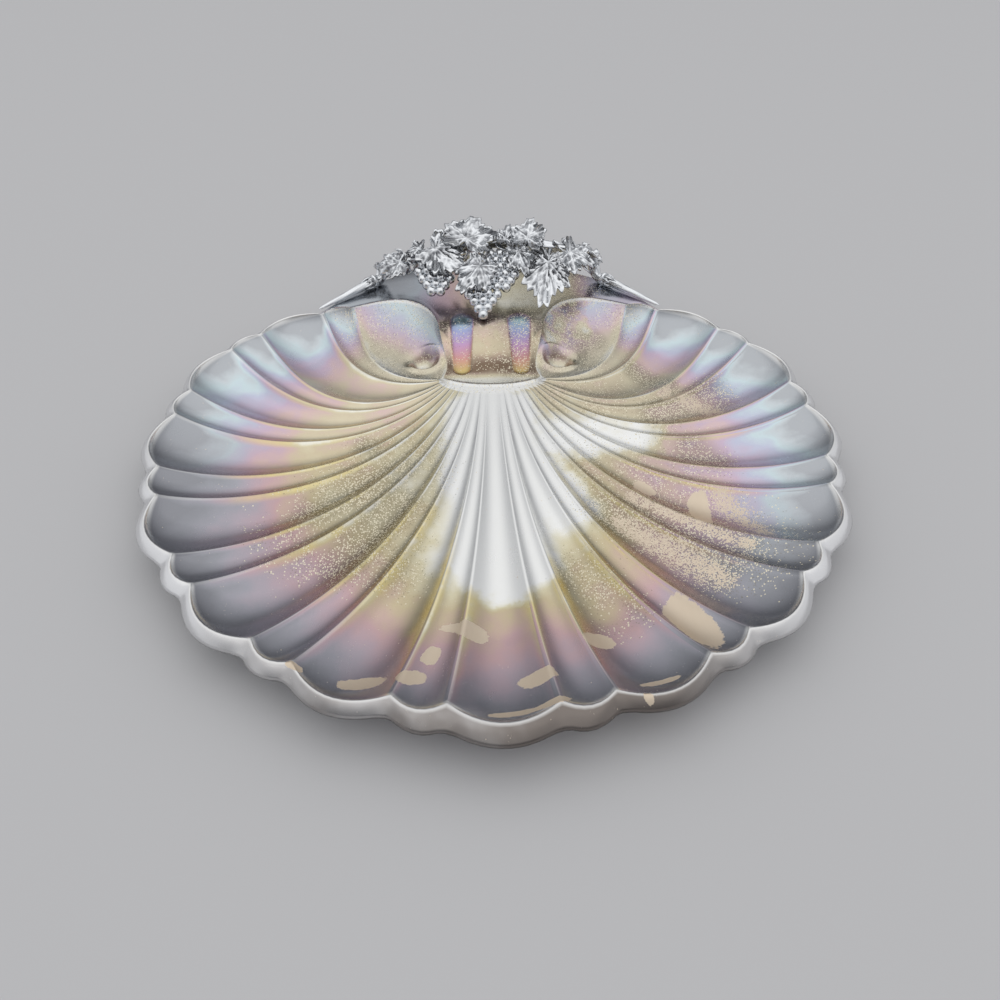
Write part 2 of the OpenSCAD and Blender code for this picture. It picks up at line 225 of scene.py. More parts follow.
# tarnish on the sheet: film from bare silver through gold, rose and blue to grey
sheetFinish = {
    "nearFilm": [(0.0, (0.85, 0.855, 0.845)), (0.10, (0.78, 0.76, 0.66)), (0.20, (0.65, 0.60, 0.43)),
                 (0.30, (0.56, 0.48, 0.32)), (0.40, (0.55, 0.42, 0.35)), (0.50, (0.53, 0.37, 0.38)),
                 (0.60, (0.46, 0.36, 0.40)), (0.70, (0.40, 0.355, 0.40)), (0.80, (0.34, 0.335, 0.375)),
                 (0.90, (0.295, 0.30, 0.33)), (1.0, (0.26, 0.265, 0.29))],
    "farFilm": [(0.0, (0.85, 0.855, 0.845)), (0.10, (0.79, 0.77, 0.68)), (0.20, (0.67, 0.61, 0.45)),
                (0.30, (0.63, 0.55, 0.41)), (0.42, (0.65, 0.49, 0.47)), (0.55, (0.57, 0.455, 0.565)),
                (0.68, (0.51, 0.53, 0.655)), (0.80, (0.56, 0.665, 0.70)), (0.90, (0.545, 0.59, 0.62)),
                (1.0, (0.43, 0.45, 0.475))],
    "bareColour": (0.69, 0.59, 0.47, 1), "fleckColour": (0.82, 0.76, 0.60, 1),
    "pitColour": (0.20, 0.175, 0.12, 1), "rubbedAndHighlightColour": (0.82, 0.82, 0.81, 1),
    "stainAndShadeColour": (0.22, 0.155, 0.11, 1), "fringeColour": (0.76, 0.63, 0.28, 1),
    # the dark skirt colour is a brownish painted shade for the front of the skirt
    "skirtColour": (0.86, 0.865, 0.88, 1), "skirtPaintedShade": (0.205, 0.18, 0.165, 1),
    # noises: scale, detail, roughness
    "cloud": (14.0, 4.0, 0.55), "mottle": (55.0, 5.0, 0.6), "ragged": (160.0, 5.0, 0.62),
    "crumbs": (750.0, 2.0), "grit": (1100.0, 2.0),
    # slope and start of the film: on the bowl, in the column's flutes and on its panel
    "filmGrowth": (0.25, 0.19), "fluteFilm": (0.62, 0.08), "panelFilm": (0.5, 0.10),
    # pairs and fours below are fades: from, to, and the values at both if they aren't 0 and 1
    "rimRise": (0.45, 1.0), "risePower": 1.3, "riseFilm": 0.64,
    "cloudFilm": 0.50, "mottleFilm": 0.26,
    "frontThin": (0.06, 0.24, 0.18, 0.0), "ribThin": (0.74, 0.98, 0.0, 0.20),
    "scrollThin": (0.76, 0.84, 1.0, 0.52), "tipped": (0.12, 0.50, 0.0, 0.26),
    "inFlute": (0.80, 1.05, 1.0, 0.0), "fluteCloud": 0.2,
    "sillEdge": (-0.06, 0.10), "sillFilm": 0.08, "vivid": 0.9,
    "earLeft": (-0.085, 0.02, 0.86, 0.20), "earRight": (0.05, 0.09, 0.0, 0.5), "earCloud": 0.6,
    "cleanMottle": 1.3, "cleanCloud": 0.7, "cleanEdge": (0.16, 0.80), "cleanReach": (0.0, 0.3),
    "farLeft": (-0.60, -0.40, 1.0, 0.0), "farRight": (0.22, 0.48), "farOffEar": 0.6,
    "fringeFrom": (0.14, 0.34, 0.52, 0.74), "fringeTo": 0.96, "fringeStart": (0.22, 0.40),
    "fringeEnd": (0.56, 0.80, 0.85, 0.0), "fringeMottle": (0.36, 0.58, 0.25, 1.0),
    "fringeSide": (0.40, 0.62, 1.0, 0.25),
    # the rib and scroll lightening below is partly rubbed silver, partly painted highlight; the crest line is
    # a painted highlight
    "ribOuter": (0.62, 0.86), "ribInner": (0.08, 0.28, 1.0, 0.0), "ribLine": (0.92, 1.0), "ribRubbedAndHighlight": 0.4,
    "crestLine": (0.981, 0.997), "crestHighlight": 0.95, "scrollRubbedAndHighlight": (0.76, 0.84, 0.0, 0.32),
    "stainStart": (0.02, 0.12), "stainEnd": (0.22, 0.46, 1.0, 0.0), "stainMottle": (0.34, 0.56, 0.6, 1.0),
    "eyeShadeStrength": 0.85, "frontShadeTurn": (0.10 * math.pi, 0.30 * math.pi, 1.0, 0.12),
    "frontShadeCloud": (0.30, 0.60, 0.45, 1.0),
    "fleckScale": 980.0, "fleckShade": 0.38, "fleckLeast": (0.55, 1.0, 0.10, 0.55), "fleckMost": 0.95,
    "fleckMottle": (0.36, 0.60), "fleckSize": (0.34, 0.52, 1.0, 0.0), "fleckCover": 0.85,
    "pitScale": 1250.0, "pitShare": 0.8, "pitSize": (0.25, 0.45, 1.0, 0.0), "pitCover": 0.75,
    "patchRagged": 0.6, "patchCrumbs": 0.14, "patchEdge": (0.58, 0.66),
    "speckRagged": 1.6, "speckGrit": 2.4, "speckEdge": (0.62, 0.80, 0.0, 0.9),
    "grain": 1.0, "polish": (0.3, 0.7, 0.15, 0.30), "wornRough": 0.28,
    "bump": (0.06, 0.0006)}  # strength, distance


# what the finish reads off the sheet
def readSheet(tree, look):
    at = SimpleNamespace(place=put(tree, "TexCoord").outputs["Object"])
    at.along, at.cross, at.turn = splitVector(tree, readLayer(tree, "flow", "Vector"))
    at.column, at.ear, at.skirt = splitVector(tree, readLayer(tree, "zone", "Vector"))
    at.bare, at.flecked, at.cleaned = splitVector(tree, readLayer(tree, "worn", "Vector"))
    at.speckle, at.grime = readLayer(tree, "speckle"), readLayer(tree, "grime")
    at.sideways, at.backwards = splitVector(tree, at.place)[:2]
    at.offMiddle = calc(tree, "ABSOLUTE", at.cross)  # 1 on the ribs
    at.fromFront = calc(tree, "ABSOLUTE", at.turn)  # 1 at the back
    at.inFlute = fade(tree, at.cross, *look["inFlute"])
    at.cloud, at.mottle = noiseAt(tree, at.place, *look["cloud"]), noiseAt(tree, at.place, *look["mottle"])
    return at


# film thickness grows from the clean tongue to the rim, thinner along the ribs
def filmOnFlutes(tree, look, at):
    rise = calc(tree, "POWER", fade(tree, at.along, *look["rimRise"], style="LINEAR"), look["risePower"])
    film = plus(tree, calc(tree, "MULTIPLY_ADD", at.along, *look["filmGrowth"]),
                times(tree, rise, look["riseFilm"]), swing(tree, at.cloud, look["cloudFilm"]),
                swing(tree, at.mottle, look["mottleFilm"]))
    film = calc(tree, "SUBTRACT", film, fade(tree, at.fromFront, *look["frontThin"]))
    film = calc(tree, "SUBTRACT", film, fade(tree, at.offMiddle, *look["ribThin"]))
    upper = times(tree, at.cross, calc(tree, "SIGN", at.turn))
    tipped = times(tree, upper, fade(tree, at.fromFront, *look["tipped"]))
    return times(tree, film, fade(tree, at.fromFront, *look["scrollThin"]), plus(tree, tipped, 1.0))


# the column: banded flutes beside a speckled panel, over a pale sill
def filmOnColumn(tree, look, at):
    fluteFilm = plus(tree, calc(tree, "MULTIPLY_ADD", at.along, *look["fluteFilm"]),
                     times(tree, at.cloud, look["fluteCloud"]))
    panelFilm = calc(tree, "MULTIPLY_ADD", at.mottle, *look["panelFilm"])
    film = mixValue(tree, at.inFlute, panelFilm, fluteFilm)
    return mixValue(tree, fade(tree, at.along, *look["sillEdge"]), look["sillFilm"], film)


def filmOnEar(tree, look, at):
    return plus(tree, fade(tree, at.sideways, *look["earLeft"]), fade(tree, at.sideways, *look["earRight"]),
                swing(tree, at.cloud, look["earCloud"]))


def cleanShare(tree, look, at):
    clean = plus(tree, at.cleaned, swing(tree, at.mottle, look["cleanMottle"]),
                 swing(tree, at.cloud, look["cleanCloud"]))
    return calc(tree, "MINIMUM", fade(tree, clean, *look["cleanEdge"]),
                fade(tree, at.cleaned, *look["cleanReach"]))


# gold fringe beside the ribs, half way out
def fringeShare(tree, look, at):
    start = fade(tree, at.fromFront, *look["fringeFrom"])
    return times(tree, fade(tree, at.offMiddle, start, look["fringeTo"]),
                 fade(tree, at.along, *look["fringeStart"]), fade(tree, at.along, *look["fringeEnd"]),
                 fade(tree, at.mottle, *look["fringeMottle"]), fade(tree, at.fromFront, *look["fringeSide"]))


def filmColour(tree, look, at):
    film = mixValue(tree, at.column, filmOnFlutes(tree, look, at), filmOnColumn(tree, look, at))
    film = mixValue(tree, at.ear, film, filmOnEar(tree, look, at))
    dirty = without(tree, cleanShare(tree, look, at))
    film = calc(tree, "MULTIPLY", film, dirty, clamp=True)
    far = calc(tree, "MAXIMUM", fade(tree, at.turn, *look["farLeft"]), fade(tree, at.turn, *look["farRight"]))
    far = times(tree, far, calc(tree, "MULTIPLY_ADD", at.ear, -look["farOffEar"], 1.0))
    colour = blendColour(tree, far, ramp(tree, film, look["nearFilm"]), ramp(tree, film, look["farFilm"]))
    fringe = times(tree, fringeShare(tree, look, at), dirty)
    colour = blendColour(tree, fringe, colour, look["fringeColour"])
    vivid = calc(tree, "MULTIPLY_ADD", times(tree, at.column, at.inFlute), look["vivid"], 1.0)
    return put(tree, "HueSaturation", {"Saturation": vivid, "Color": colour}).outputs[0]


# lighter along the ribs and on the scrolls, partly rubbed silver and partly painted highlight, and a painted
# highlight line along the crest of the rim
def rubbedAndHighlightShare(tree, look, at):
    ribEnds = calc(tree, "MAXIMUM", fade(tree, at.along, *look["ribOuter"]),
                   fade(tree, at.along, *look["ribInner"]))
    ribLine = times(tree, fade(tree, at.offMiddle, *look["ribLine"]), ribEnds, look["ribRubbedAndHighlight"])
    crestLine = times(tree, fade(tree, at.along, *look["crestLine"]), look["crestHighlight"])
    rubbedAndHighlight = times(tree, calc(tree, "MAXIMUM", ribLine, crestLine),
                   without(tree, at.ear), without(tree, at.column))
    onScroll = times(tree, fade(tree, at.fromFront, *look["scrollRubbedAndHighlight"]),
                     without(tree, calc(tree, "MAXIMUM", at.ear, at.column)))
    return calc(tree, "MAXIMUM", rubbedAndHighlight, onScroll)


# brown stain at the foot of the column
def stainShare(tree, look, at):
    return times(tree, fade(tree, at.along, *look["stainStart"]), fade(tree, at.along, *look["stainEnd"]),
                 at.column, without(tree, at.inFlute), fade(tree, at.mottle, *look["stainMottle"]))


# brownish painted shade on the skirt, most at the front, standing in for a dark reflection there; bright
# silver elsewhere
def skirtColour(tree, look, at):
    aside = calc(tree, "ARCTAN2", calc(tree, "ABSOLUTE", at.sideways), times(tree, at.backwards, -1.0))
    frontShade = times(tree, fade(tree, aside, *look["frontShadeTurn"]),
                    fade(tree, at.cloud, *look["frontShadeCloud"]))
    return blendColour(tree, frontShade, look["skirtColour"], look["skirtPaintedShade"])


# small round specks in a share of the cells
def specks(tree, place, scale, channel, share, size):
    cells = put(tree, "TexVoronoi", {"Vector": place, "Scale": scale}).outputs
    pick = put(tree, "SeparateColor", {0: cells["Color"]}).outputs[channel]
    return times(tree, calc(tree, "LESS_THAN", pick, share), fade(tree, cells["Distance"], *size))


# flecks and pits where the film breaks up
def addFlecks(tree, look, at, colour):
    ground = without(tree, times(tree, at.flecked, look["fleckShade"]))
    colour = put(tree, "VectorMath", {0: colour, "Scale": ground}, operation="SCALE").outputs[0]
    least = fade(tree, at.flecked, *look["fleckLeast"])
    dense = mixValue(tree, fade(tree, at.mottle, *look["fleckMottle"]), least, look["fleckMost"])
    dense = times(tree, at.flecked, dense)
    flecks = specks(tree, at.place, look["fleckScale"], 0, dense, look["fleckSize"])
    pits = specks(tree, at.place, look["pitScale"], 1, times(tree, dense, look["pitShare"]), look["pitSize"])
    colour = blendColour(tree, times(tree, pits, look["pitCover"]), colour, look["pitColour"])
    return flecks, blendColour(tree, times(tree, flecks, look["fleckCover"]), colour, look["fleckColour"])


# patches where the plate is worn through
def patchShare(tree, look, at):
    ragged, crumbs, grit = (noiseAt(tree, at.place, *look[name]) for name in ("ragged", "crumbs", "grit"))
    patch = plus(tree, at.bare, swing(tree, ragged, look["patchRagged"]),
                 swing(tree, crumbs, look["patchCrumbs"]))
    speck = plus(tree, at.speckle, swing(tree, ragged, look["speckRagged"]),
                 swing(tree, grit, look["speckGrit"]))
    return calc(tree, "MAXIMUM", fade(tree, patch, *look["patchEdge"]), fade(tree, speck, *look["speckEdge"]))


def makeSheetFinish(look):
    material, tree, shader = newMaterial("tarnishedSheet")
    at = readSheet(tree, look)
    # rubbed silver and painted highlight laid over the film colour
    colour = blendColour(tree, rubbedAndHighlightShare(tree, look, at), filmColour(tree, look, at), look["rubbedAndHighlightColour"])
    # the stain at the foot of the column, then the painted shade on the upper wall of each eye
    for stainAndShade in (stainShare(tree, look, at), times(tree, at.grime, look["eyeShadeStrength"])):
        colour = blendColour(tree, stainAndShade, colour, look["stainAndShadeColour"])
    colour = blendColour(tree, at.skirt, colour, skirtColour(tree, look, at))
    flecks, colour = addFlecks(tree, look, at, colour)
    patch = patchShare(tree, look, at)
    colour = blendColour(tree, patch, colour, look["bareColour"])
    marks = useMarks(tree, at.place, look["grain"])
    rough = plus(tree, fade(tree, marks["Haze"], *look["polish"], style="LINEAR"),
                 times(tree, calc(tree, "MAXIMUM", patch, flecks), look["wornRough"]))
    wireSilver(tree, shader, colour, rough, marks["Height"], look["bump"])
    return material


# cast silver: oxide left dark in the hollows, bright where hands and cloths reach, and painted shade on the
# lower sides of the berries
castFinish = {"bright": (0.80, 0.82, 0.845, 1), "dark": (0.17, 0.175, 0.19, 1),
              "grain": (420.0, 4.0, 0.6), "grainOxide": 0.35, "grainHeight": 0.7,
              "blotch": (90.0, 3.0), "blotchOxide": 0.8, "blotchMiddle": 0.45, "darkeningEdge": (0.20, 1.12),
              "marks": 3.0, "marksHeight": 0.3, "polish": (0.3, 0.7, 0.14, 0.26), "darkeningRough": 0.2,
              "bump": (0.25, 0.0006)}


def makeCastFinish(look):
    material, tree, shader = newMaterial("oxideAndShadeCasting")
    place = put(tree, "TexCoord").outputs["Object"]
    grain, blotch = noiseAt(tree, place, *look["grain"]), noiseAt(tree, place, *look["blotch"])
    darkening = plus(tree, readLayer(tree, "hollow"),
                 swing(tree, blotch, look["blotchOxide"], look["blotchMiddle"]),
                 swing(tree, grain, look["grainOxide"]))
    darkening = fade(tree, darkening, *look["darkeningEdge"])
    colour = blendColour(tree, darkening, look["bright"], look["dark"])
    marks = useMarks(tree, place, look["marks"])
    rough = plus(tree, fade(tree, marks["Haze"], *look["polish"], style="LINEAR"),
                 times(tree, darkening, look["darkeningRough"]))
    height = plus(tree, times(tree, grain, look["grainHeight"]),
                  times(tree, marks["Height"], look["marksHeight"]))
    wireSilver(tree, shader, colour, rough, height, look["bump"])
    return material


footFinish = {"haze": [(0.38, (0.34, 0.33, 0.31)), (0.62, (0.66, 0.66, 0.65))], "marks": 2.0,
              "polish": (0.3, 0.7, 0.42, 0.24), "bump": (0.12, 0.0005)}


def makeFootFinish(look):
    material, tree, shader = newMaterial("dullFootSilver")
    marks = useMarks(tree, put(tree, "TexCoord").outputs["Object"], look["marks"])
    rough = fade(tree, marks["Haze"], *look["polish"], style="LINEAR")
    wireSilver(tree, shader, ramp(tree, marks["Haze"], look["haze"]), rough, marks["Height"], look["bump"])
    return material


tarnishedSheet = makeSheetFinish(sheetFinish)
oxideAndShadeCasting = makeCastFinish(castFinish)
dullFootSilver = makeFootFinish(footFinish)
print("finishes made")

# points closer than this are one, in millimetres
weld = {"sheet": 0.02, "sliver": 0.001, "casting": 0.01, "tube": 0.005}


# mesh helpers: points are worked out in millimetres and set in metres
def ruledSheet(bm, across, along, rule):
    verts = bmesh.ops.create_grid(bm, x_segments=across, y_segments=along, size=1.0)["verts"]
    rows = [verts[j * (across + 1):(j + 1) * (across + 1)] for j in range(along + 1)]
    for j, row in enumerate(rows):
        for i, vert in enumerate(row):
            vert.co = rule(i, j) * mm
    return rows


def rowEdges(row):
    return [e for a, b in zip(row, row[1:]) for e in a.link_edges if e.other_vert(a) is b]


def merge(bm, verts, distance):
    bmesh.ops.remove_doubles(bm, verts=verts, dist=distance * mm)


# the other face of a sheet or a casting, joined to the first along its edge
def addBack(bm, offset):
    twin = bmesh.ops.duplicate(bm, geom=list(bm.verts) + list(bm.edges) + list(bm.faces))["geom"]
    backVerts = [g for g in twin if isinstance(g, bmesh.types.BMVert)]
    bmesh.ops.translate(bm, verts=backVerts, vec=offset * mm)
    bmesh.ops.reverse_faces(bm, faces=[g for g in twin if isinstance(g, bmesh.types.BMFace)])
    bmesh.ops.bridge_loops(bm, edges=[e for e in bm.edges if e.is_boundary])
    return backVerts


def pieceName(node):
    first, *others = node.split("_")
    return first + "".join(word.title() for word in others)


def finishPiece(bm, name, node, material):
    mesh = bpy.data.meshes.new(name)
    for face in bm.faces:
        face.smooth = True
    bm.to_mesh(mesh)
    bm.free()
    piece = bpy.data.objects.new(name, mesh)
    scene.collection.objects.link(piece)
    mesh.materials.append(material)
    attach(piece, "root")
    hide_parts(node)


# the pressed shell
dish = {
    "rimR": 197, "rimH": 28, "bowlDepth": 15, "bowlPower": 4, "sheet": 1.5, "flutes": 29,
    "wideAngle": 14.3, "narrowAngle": 7.2, "swell": {"wide": 10, "narrow": 5, "scroll": 26}, "lobePower": 6,
    "deep": {"wide": 8, "narrow": 4, "scroll": 3.6}, "deepFrom": 0.7, "deepPower": 0.95, "spoonFrom": 0.8,
    # how the ribs leave the hinge and reach the rim
    "hingeDepth": 131, "hingeW": 70, "hingeSag": 24, "hingeLift": 12, "hingePull": 27, "pullSpan": 30,
    "pullPower": 1.2, "nearSpan": 24, "nearTurn": 25, "leadTurn": 0.21, "leadTwist": 0.085, "lead": 138,
    "leadCut": 20, "leadEase": 0.35, "arrive": 52, "arriveCut": 16,
    # scrolls, their eyes and the lips round them
    "scrollDepth": 97, "scrollGap": 1, "scrollLead": ((-7, 11), (-4, -11)),
    "scrollLip": 1.5, "scrollLipSpan": 0.7,
    "eyeDepth": 6.8, "eyeR": 9.2, "eyePower": 3.2, "eyeFade": 8, "eyeX": 13, "eyeY": 12,
    "lipR": 11.8, "lipW": 2.1, "lipHeight": 2.6, "curlStart": (-165, 40), "curlEnd": (125, 60),
    # the column between the scrolls
    "columnTop": 79, "columnFoot": 4, "columnEdge": 0.08, "sill": 1.1, "sillAt": 2.4, "sillW": 1.4,
    "columnFlute": 3.2, "fluteRound": 0.7, "fluteX": 20.6, "fluteHalf": 7.8, "fluteLow": 2, "fluteHigh": 8,
    "fluteTaper": (0.86, 1.16), "fluteFadeFrom": 22, "fluteFade": 34,
    # the ear, the groove beside the scrolls and the skirt
    "earColumn": 40, "earPower": 3, "earLevel": 0.2,
    "groove": 0.7, "grooveAt": 3, "grooveW": 1.8, "grooveStart": 0.03,
    "skirtOut": 7.2, "skirtDrop": 5, "skirtPower": 1.74, "skirtEase": 0.15, "earSkirt": 3, "earSkirtPower": 6,
    "frontLip": 3, "frontHalf": 0.5, "frontSoft": 1.2, "notchRidge": 0.9, "notchW": 0.1,
    # cells of the sheet, crowded towards the ribs so that the ridges stay crisp
    "cells": {"wide": 15, "narrow": 8, "scroll": 56}, "crowding": 0.45, "rows": 80, "rowPower": 1.5,
    "hingeCells": 3, "besideCells": 6, "skirtRows": 8,
    "earShares": [0, 0.012, 0.025, 0.04, 0.06, 0.085, 0.115, 0.15, 0.2, 0.27, 0.36, 0.48, 0.62, 0.8, 1]}
flutes = dish["flutes"]
middleFlute, middleRib = flutes // 2, (flutes + 1) // 2
lastRank = middleRib - 2  # past it, the inner edges of the scrolls
rimR, rimH = dish["rimR"], dish["rimH"]
hingeY = rimR - dish["hingeDepth"]
floorZ = rimH - dish["bowlDepth"]
columnTopY = rimR - dish["columnTop"]
columnFootY = hingeY - dish["columnFoot"]
wideAngle, narrowAngle = dish["wideAngle"], dish["narrowAngle"]
frontSwell = dish["swell"]["wide"] * (1 - dish["skirtEase"])
frontReach = rimR * dcos(wideAngle / 2) + frontSwell + dish["skirtOut"] + dish["frontLip"]
shiftY = (frontReach - rimR - dish["earSkirt"]) / 2  # centres the platter on its length


def shift(p):
    return Vector((p[0], p[1] + shiftY, p[2]))


def kindOf(flute):
    if flute in (0, flutes - 1):
        return "scroll"
    return "narrow" if flute % 2 else "wide"


def sideOf(rib):
    return -1 if rib < middleRib else 1


def rankOf(rib):
    return middleRib - 1 - rib if rib < middleRib else rib - middleRib


def turnOf(count):
    return count // 2 * (wideAngle + narrowAngle) + wideAngle / 2 + count % 2 * narrowAngle


lastTurn = turnOf(lastRank)


def rimAngle(rib):
    return sideOf(rib) * turnOf(min(lastRank, rankOf(rib)))


# the four handles of a rib, from the hinge to its notch in the rim
def ribHandles(rib):
    side, rank, angle = sideOf(rib), rankOf(rib), rimAngle(rib)
    fan = 90 * side * (rank + 1) / middleRib
    root = Vector((dish["hingeW"] / 2 * dsin(fan), hingeY - dish["hingeSag"] * dcos(fan)))
    start = root + Vector((0, dish["hingeLift"] * dcos(fan)))
    if rank > lastRank:
        (ax, ay), (bx, by) = dish["scrollLead"]
        end = Vector((side * (dish["hingeW"] / 2 + dish["scrollGap"]), rimR - dish["scrollDepth"]))
        return start, start + Vector((side * ax, ay)), end + Vector((side * bx, by)), end
    outward = Vector((dsin(angle), -dcos(angle)))
    pull = max(0, 1 + (abs(angle) - lastTurn) / dish["pullSpan"]) ** dish["pullPower"]
    near = step01(1 + (abs(angle) - lastTurn) / dish["nearSpan"])
    t = abs(math.radians(angle))
    heading = angle * (dish["leadTurn"] + dish["leadTwist"] * t) + side * dish["nearTurn"] * near
    lead = (dish["lead"] - dish["leadCut"] * t) * (1 - dish["leadEase"] * near)
    arrive = dish["arrive"] - dish["arriveCut"] * t
    end = outward * (rimR - dish["hingePull"] * pull)
    return start, root + lead * Vector((dsin(heading), -dcos(heading))), end - arrive * outward, end


ribs = [ribHandles(rib) for rib in range(flutes + 1)]


def ribAt(rib, s):
    a, b, c, d = ribs[rib]
    t = 1 - s
    return a * t ** 3 + b * (3 * s * t * t) + c * (3 * s * s * t) + d * s ** 3


def lobeWay(flute):
    d = ribs[flute + 1][3] - ribs[flute][3]
    return Vector((d.y, -d.x)).normalized()


def fluteDip(flute, s):
    spoon = max(0, (s - dish["spoonFrom"]) / (1 - dish["spoonFrom"]))
    rise = min(1, s / dish["deepFrom"]) ** dish["deepPower"]
    return dish["deep"][kindOf(flute)] * rise * math.sqrt(max(0, 1 - spoon ** 2))


eyeCentre = Vector((dish["hingeW"] / 2 + dish["eyeX"], rimR - dish["scrollDepth"] - dish["eyeY"]))


# the hollow eye of a scroll and the lip that curls under it from beside the column
def eyeDip(flute, p):
    if kindOf(flute) != "scroll":
        return 0
    e = Vector((math.copysign(1, flute - middleFlute) * p.x, p.y)) - eyeCentre
    around = math.degrees(math.atan2(e.y, -e.x))
    (start, startSoft), (end, endSoft) = dish["curlStart"], dish["curlEnd"]
    curl = step01((end - around) / endSoft) * step01((around - start) / startSoft)
    lip = dish["lipHeight"] * bell(e.length, dish["lipR"], dish["lipW"]) * curl
    return dish["eyeDepth"] * math.exp(-(e.length / dish["eyeR"]) ** dish["eyePower"]) - lip


def scrollEdge(flute, v, s):
    if kindOf(flute) != "scroll":
        return 0
    return dish["scrollLip"] * s * step01((1 - v if flute == 0 else 1 + v) / dish["scrollLipSpan"])


# a point of the bowl: v across the flute from rib to rib, s from the hinge to the rim
def flutePoint(flute, v, s):
    middle = 1 - v * v
    p = ribAt(flute, s).lerp(ribAt(flute + 1, s), (v + 1) / 2)
    p += lobeWay(flute) * (dish["swell"][kindOf(flute)] * middle * s ** dish["lobePower"])
    z = rimH - dish["bowlDepth"] * (1 - s ** dish["bowlPower"]) + scrollEdge(flute, v, s)
    z -= fluteDip(flute, s) * middle + eyeDip(flute, p) * (1 - s ** dish["eyeFade"])
    return Vector((p.x, p.y, z))


def columnZ(y):
    return mix(floorZ, rimH, step01((y - columnFootY) / (columnTopY - columnFootY)))


# how far a point is from the middle line of a column flute, 1 at its edge
def fluteOff(x, y):
    half = dish["fluteHalf"]
    low, high = hingeY + dish["fluteLow"] + half, columnTopY + dish["fluteHigh"] - half
    nearest = min(high, max(low, y))
    taper = mix(*dish["fluteTaper"], (nearest - low) / (high - low))
    return math.hypot(abs(x) - dish["fluteX"], y - nearest) / (half * taper)


def columnDip(x, y):
    q = fluteOff(x, y)
    if q >= 1:
        return 0
    runOut = 1 - step01((y - columnTopY + dish["fluteFadeFrom"]) / dish["fluteFade"])
    return dish["columnFlute"] * (1 - q * q) ** dish["fluteRound"] * runOut


def bowlColumns():
    columns = []
    for flute in range(flutes):
        count = dish["cells"][kindOf(flute)]
        for k in range(count):
            u = 2 * k / count - 1
            columns.append((flute, mix(u, math.sin(u * math.pi / 2), dish["crowding"])))
    return columns + [(flutes - 1, 1)]


columns = bowlColumns()
columnLast, hingeLast, rows = len(columns) - 1, flutes * dish["hingeCells"], dish["rows"]
earFrom = dish["cells"]["scroll"] + dish["cells"]["narrow"]
earTo = columnLast - earFrom
earLast = 2 * earFrom + hingeLast
earHalf, columnHalf = earLast / 2, hingeLast / 2
earRib = flutes - 2
earEnd = ribs[earRib][3]


def rowShare(j):
    return 1 - (1 - j / rows) ** dish["rowPower"]


# the hinge line and the fluted column above it
def columnPoint(i, j):
    s = rowShare(j)
    flute = min(flutes - 1, i // dish["hingeCells"])
    start = ribs[flute][0].lerp(ribs[flute + 1][0], i / dish["hingeCells"] - flute)
    left, right = ribAt(0, s), ribAt(flutes, s)
    t = 0.5 + start.x / dish["hingeW"]
    p = left.lerp(right, t) + (start - ribs[0][0].lerp(ribs[flutes][0], t)) * (1 - s) ** 2
    if j == 0:
        return shift((p.x, p.y, floorZ))
    if i in (0, hingeLast):
        return shift(flutePoint(0 if i == 0 else flutes - 1, -1 if i == 0 else 1, s))
    edge = max(0, 1 - min(t, 1 - t) / dish["columnEdge"])
    z = columnZ(p.y) - columnDip(p.x, p.y) + (flutePoint(0, -1, s).z - columnZ(left.y)) * edge
    z += dish["sill"] * bell(p.y - start.y, dish["sillAt"], dish["sillW"]) * (1 - edge)
    return shift((p.x, p.y, z))


# back edge of the ear, numbered from one end to the other
def edgeX(q):
    m = abs(q - earHalf)
    x = dish["earColumn"] * m / columnHalf
    if m > columnHalf:
        x = mix(dish["earColumn"], earEnd.x, (m - columnHalf) / (earHalf - columnHalf))
    return math.copysign(x, q - earHalf)


def earEdgeY(x):
    return rimR - (rimR - earEnd.y) * (abs(x) / earEnd.x) ** dish["earPower"]


def earEdge(q):
    return shift((edgeX(q), earEdgeY(edgeX(q)), rimH))


# 0 behind the column, 1 beside it
def besideColumn(q):
    return step01((abs(q - earHalf) - columnHalf) / dish["besideCells"])


# how the skirt leans out at a column of the bowl and at a point of the ear
def rimLean(c):
    flute, v = columns[c]
    way = lobeWay(flute)
    if v == -1:
        way = (way + lobeWay(flute - 1)).normalized()
    reach = dish["skirtOut"] - dish["skirtEase"] * dish["swell"][kindOf(flute)] * (1 - v * v)
    reach += dish["notchRidge"] * bell(abs(v), 1, dish["notchW"])
    offFront = abs(flute + v / 2 - middleFlute) - dish["frontHalf"]
    return way * (reach + dish["frontLip"] * (1 - step01(offFront / dish["frontSoft"])))


def earLean(q):
    u = edgeX(q) / earEnd.x
    heading = (180 - rimAngle(earRib)) * u
    reach = mix(dish["earSkirt"], dish["skirtOut"], abs(u) ** dish["earSkirtPower"])
    return reach * Vector((dsin(heading), dcos(heading)))


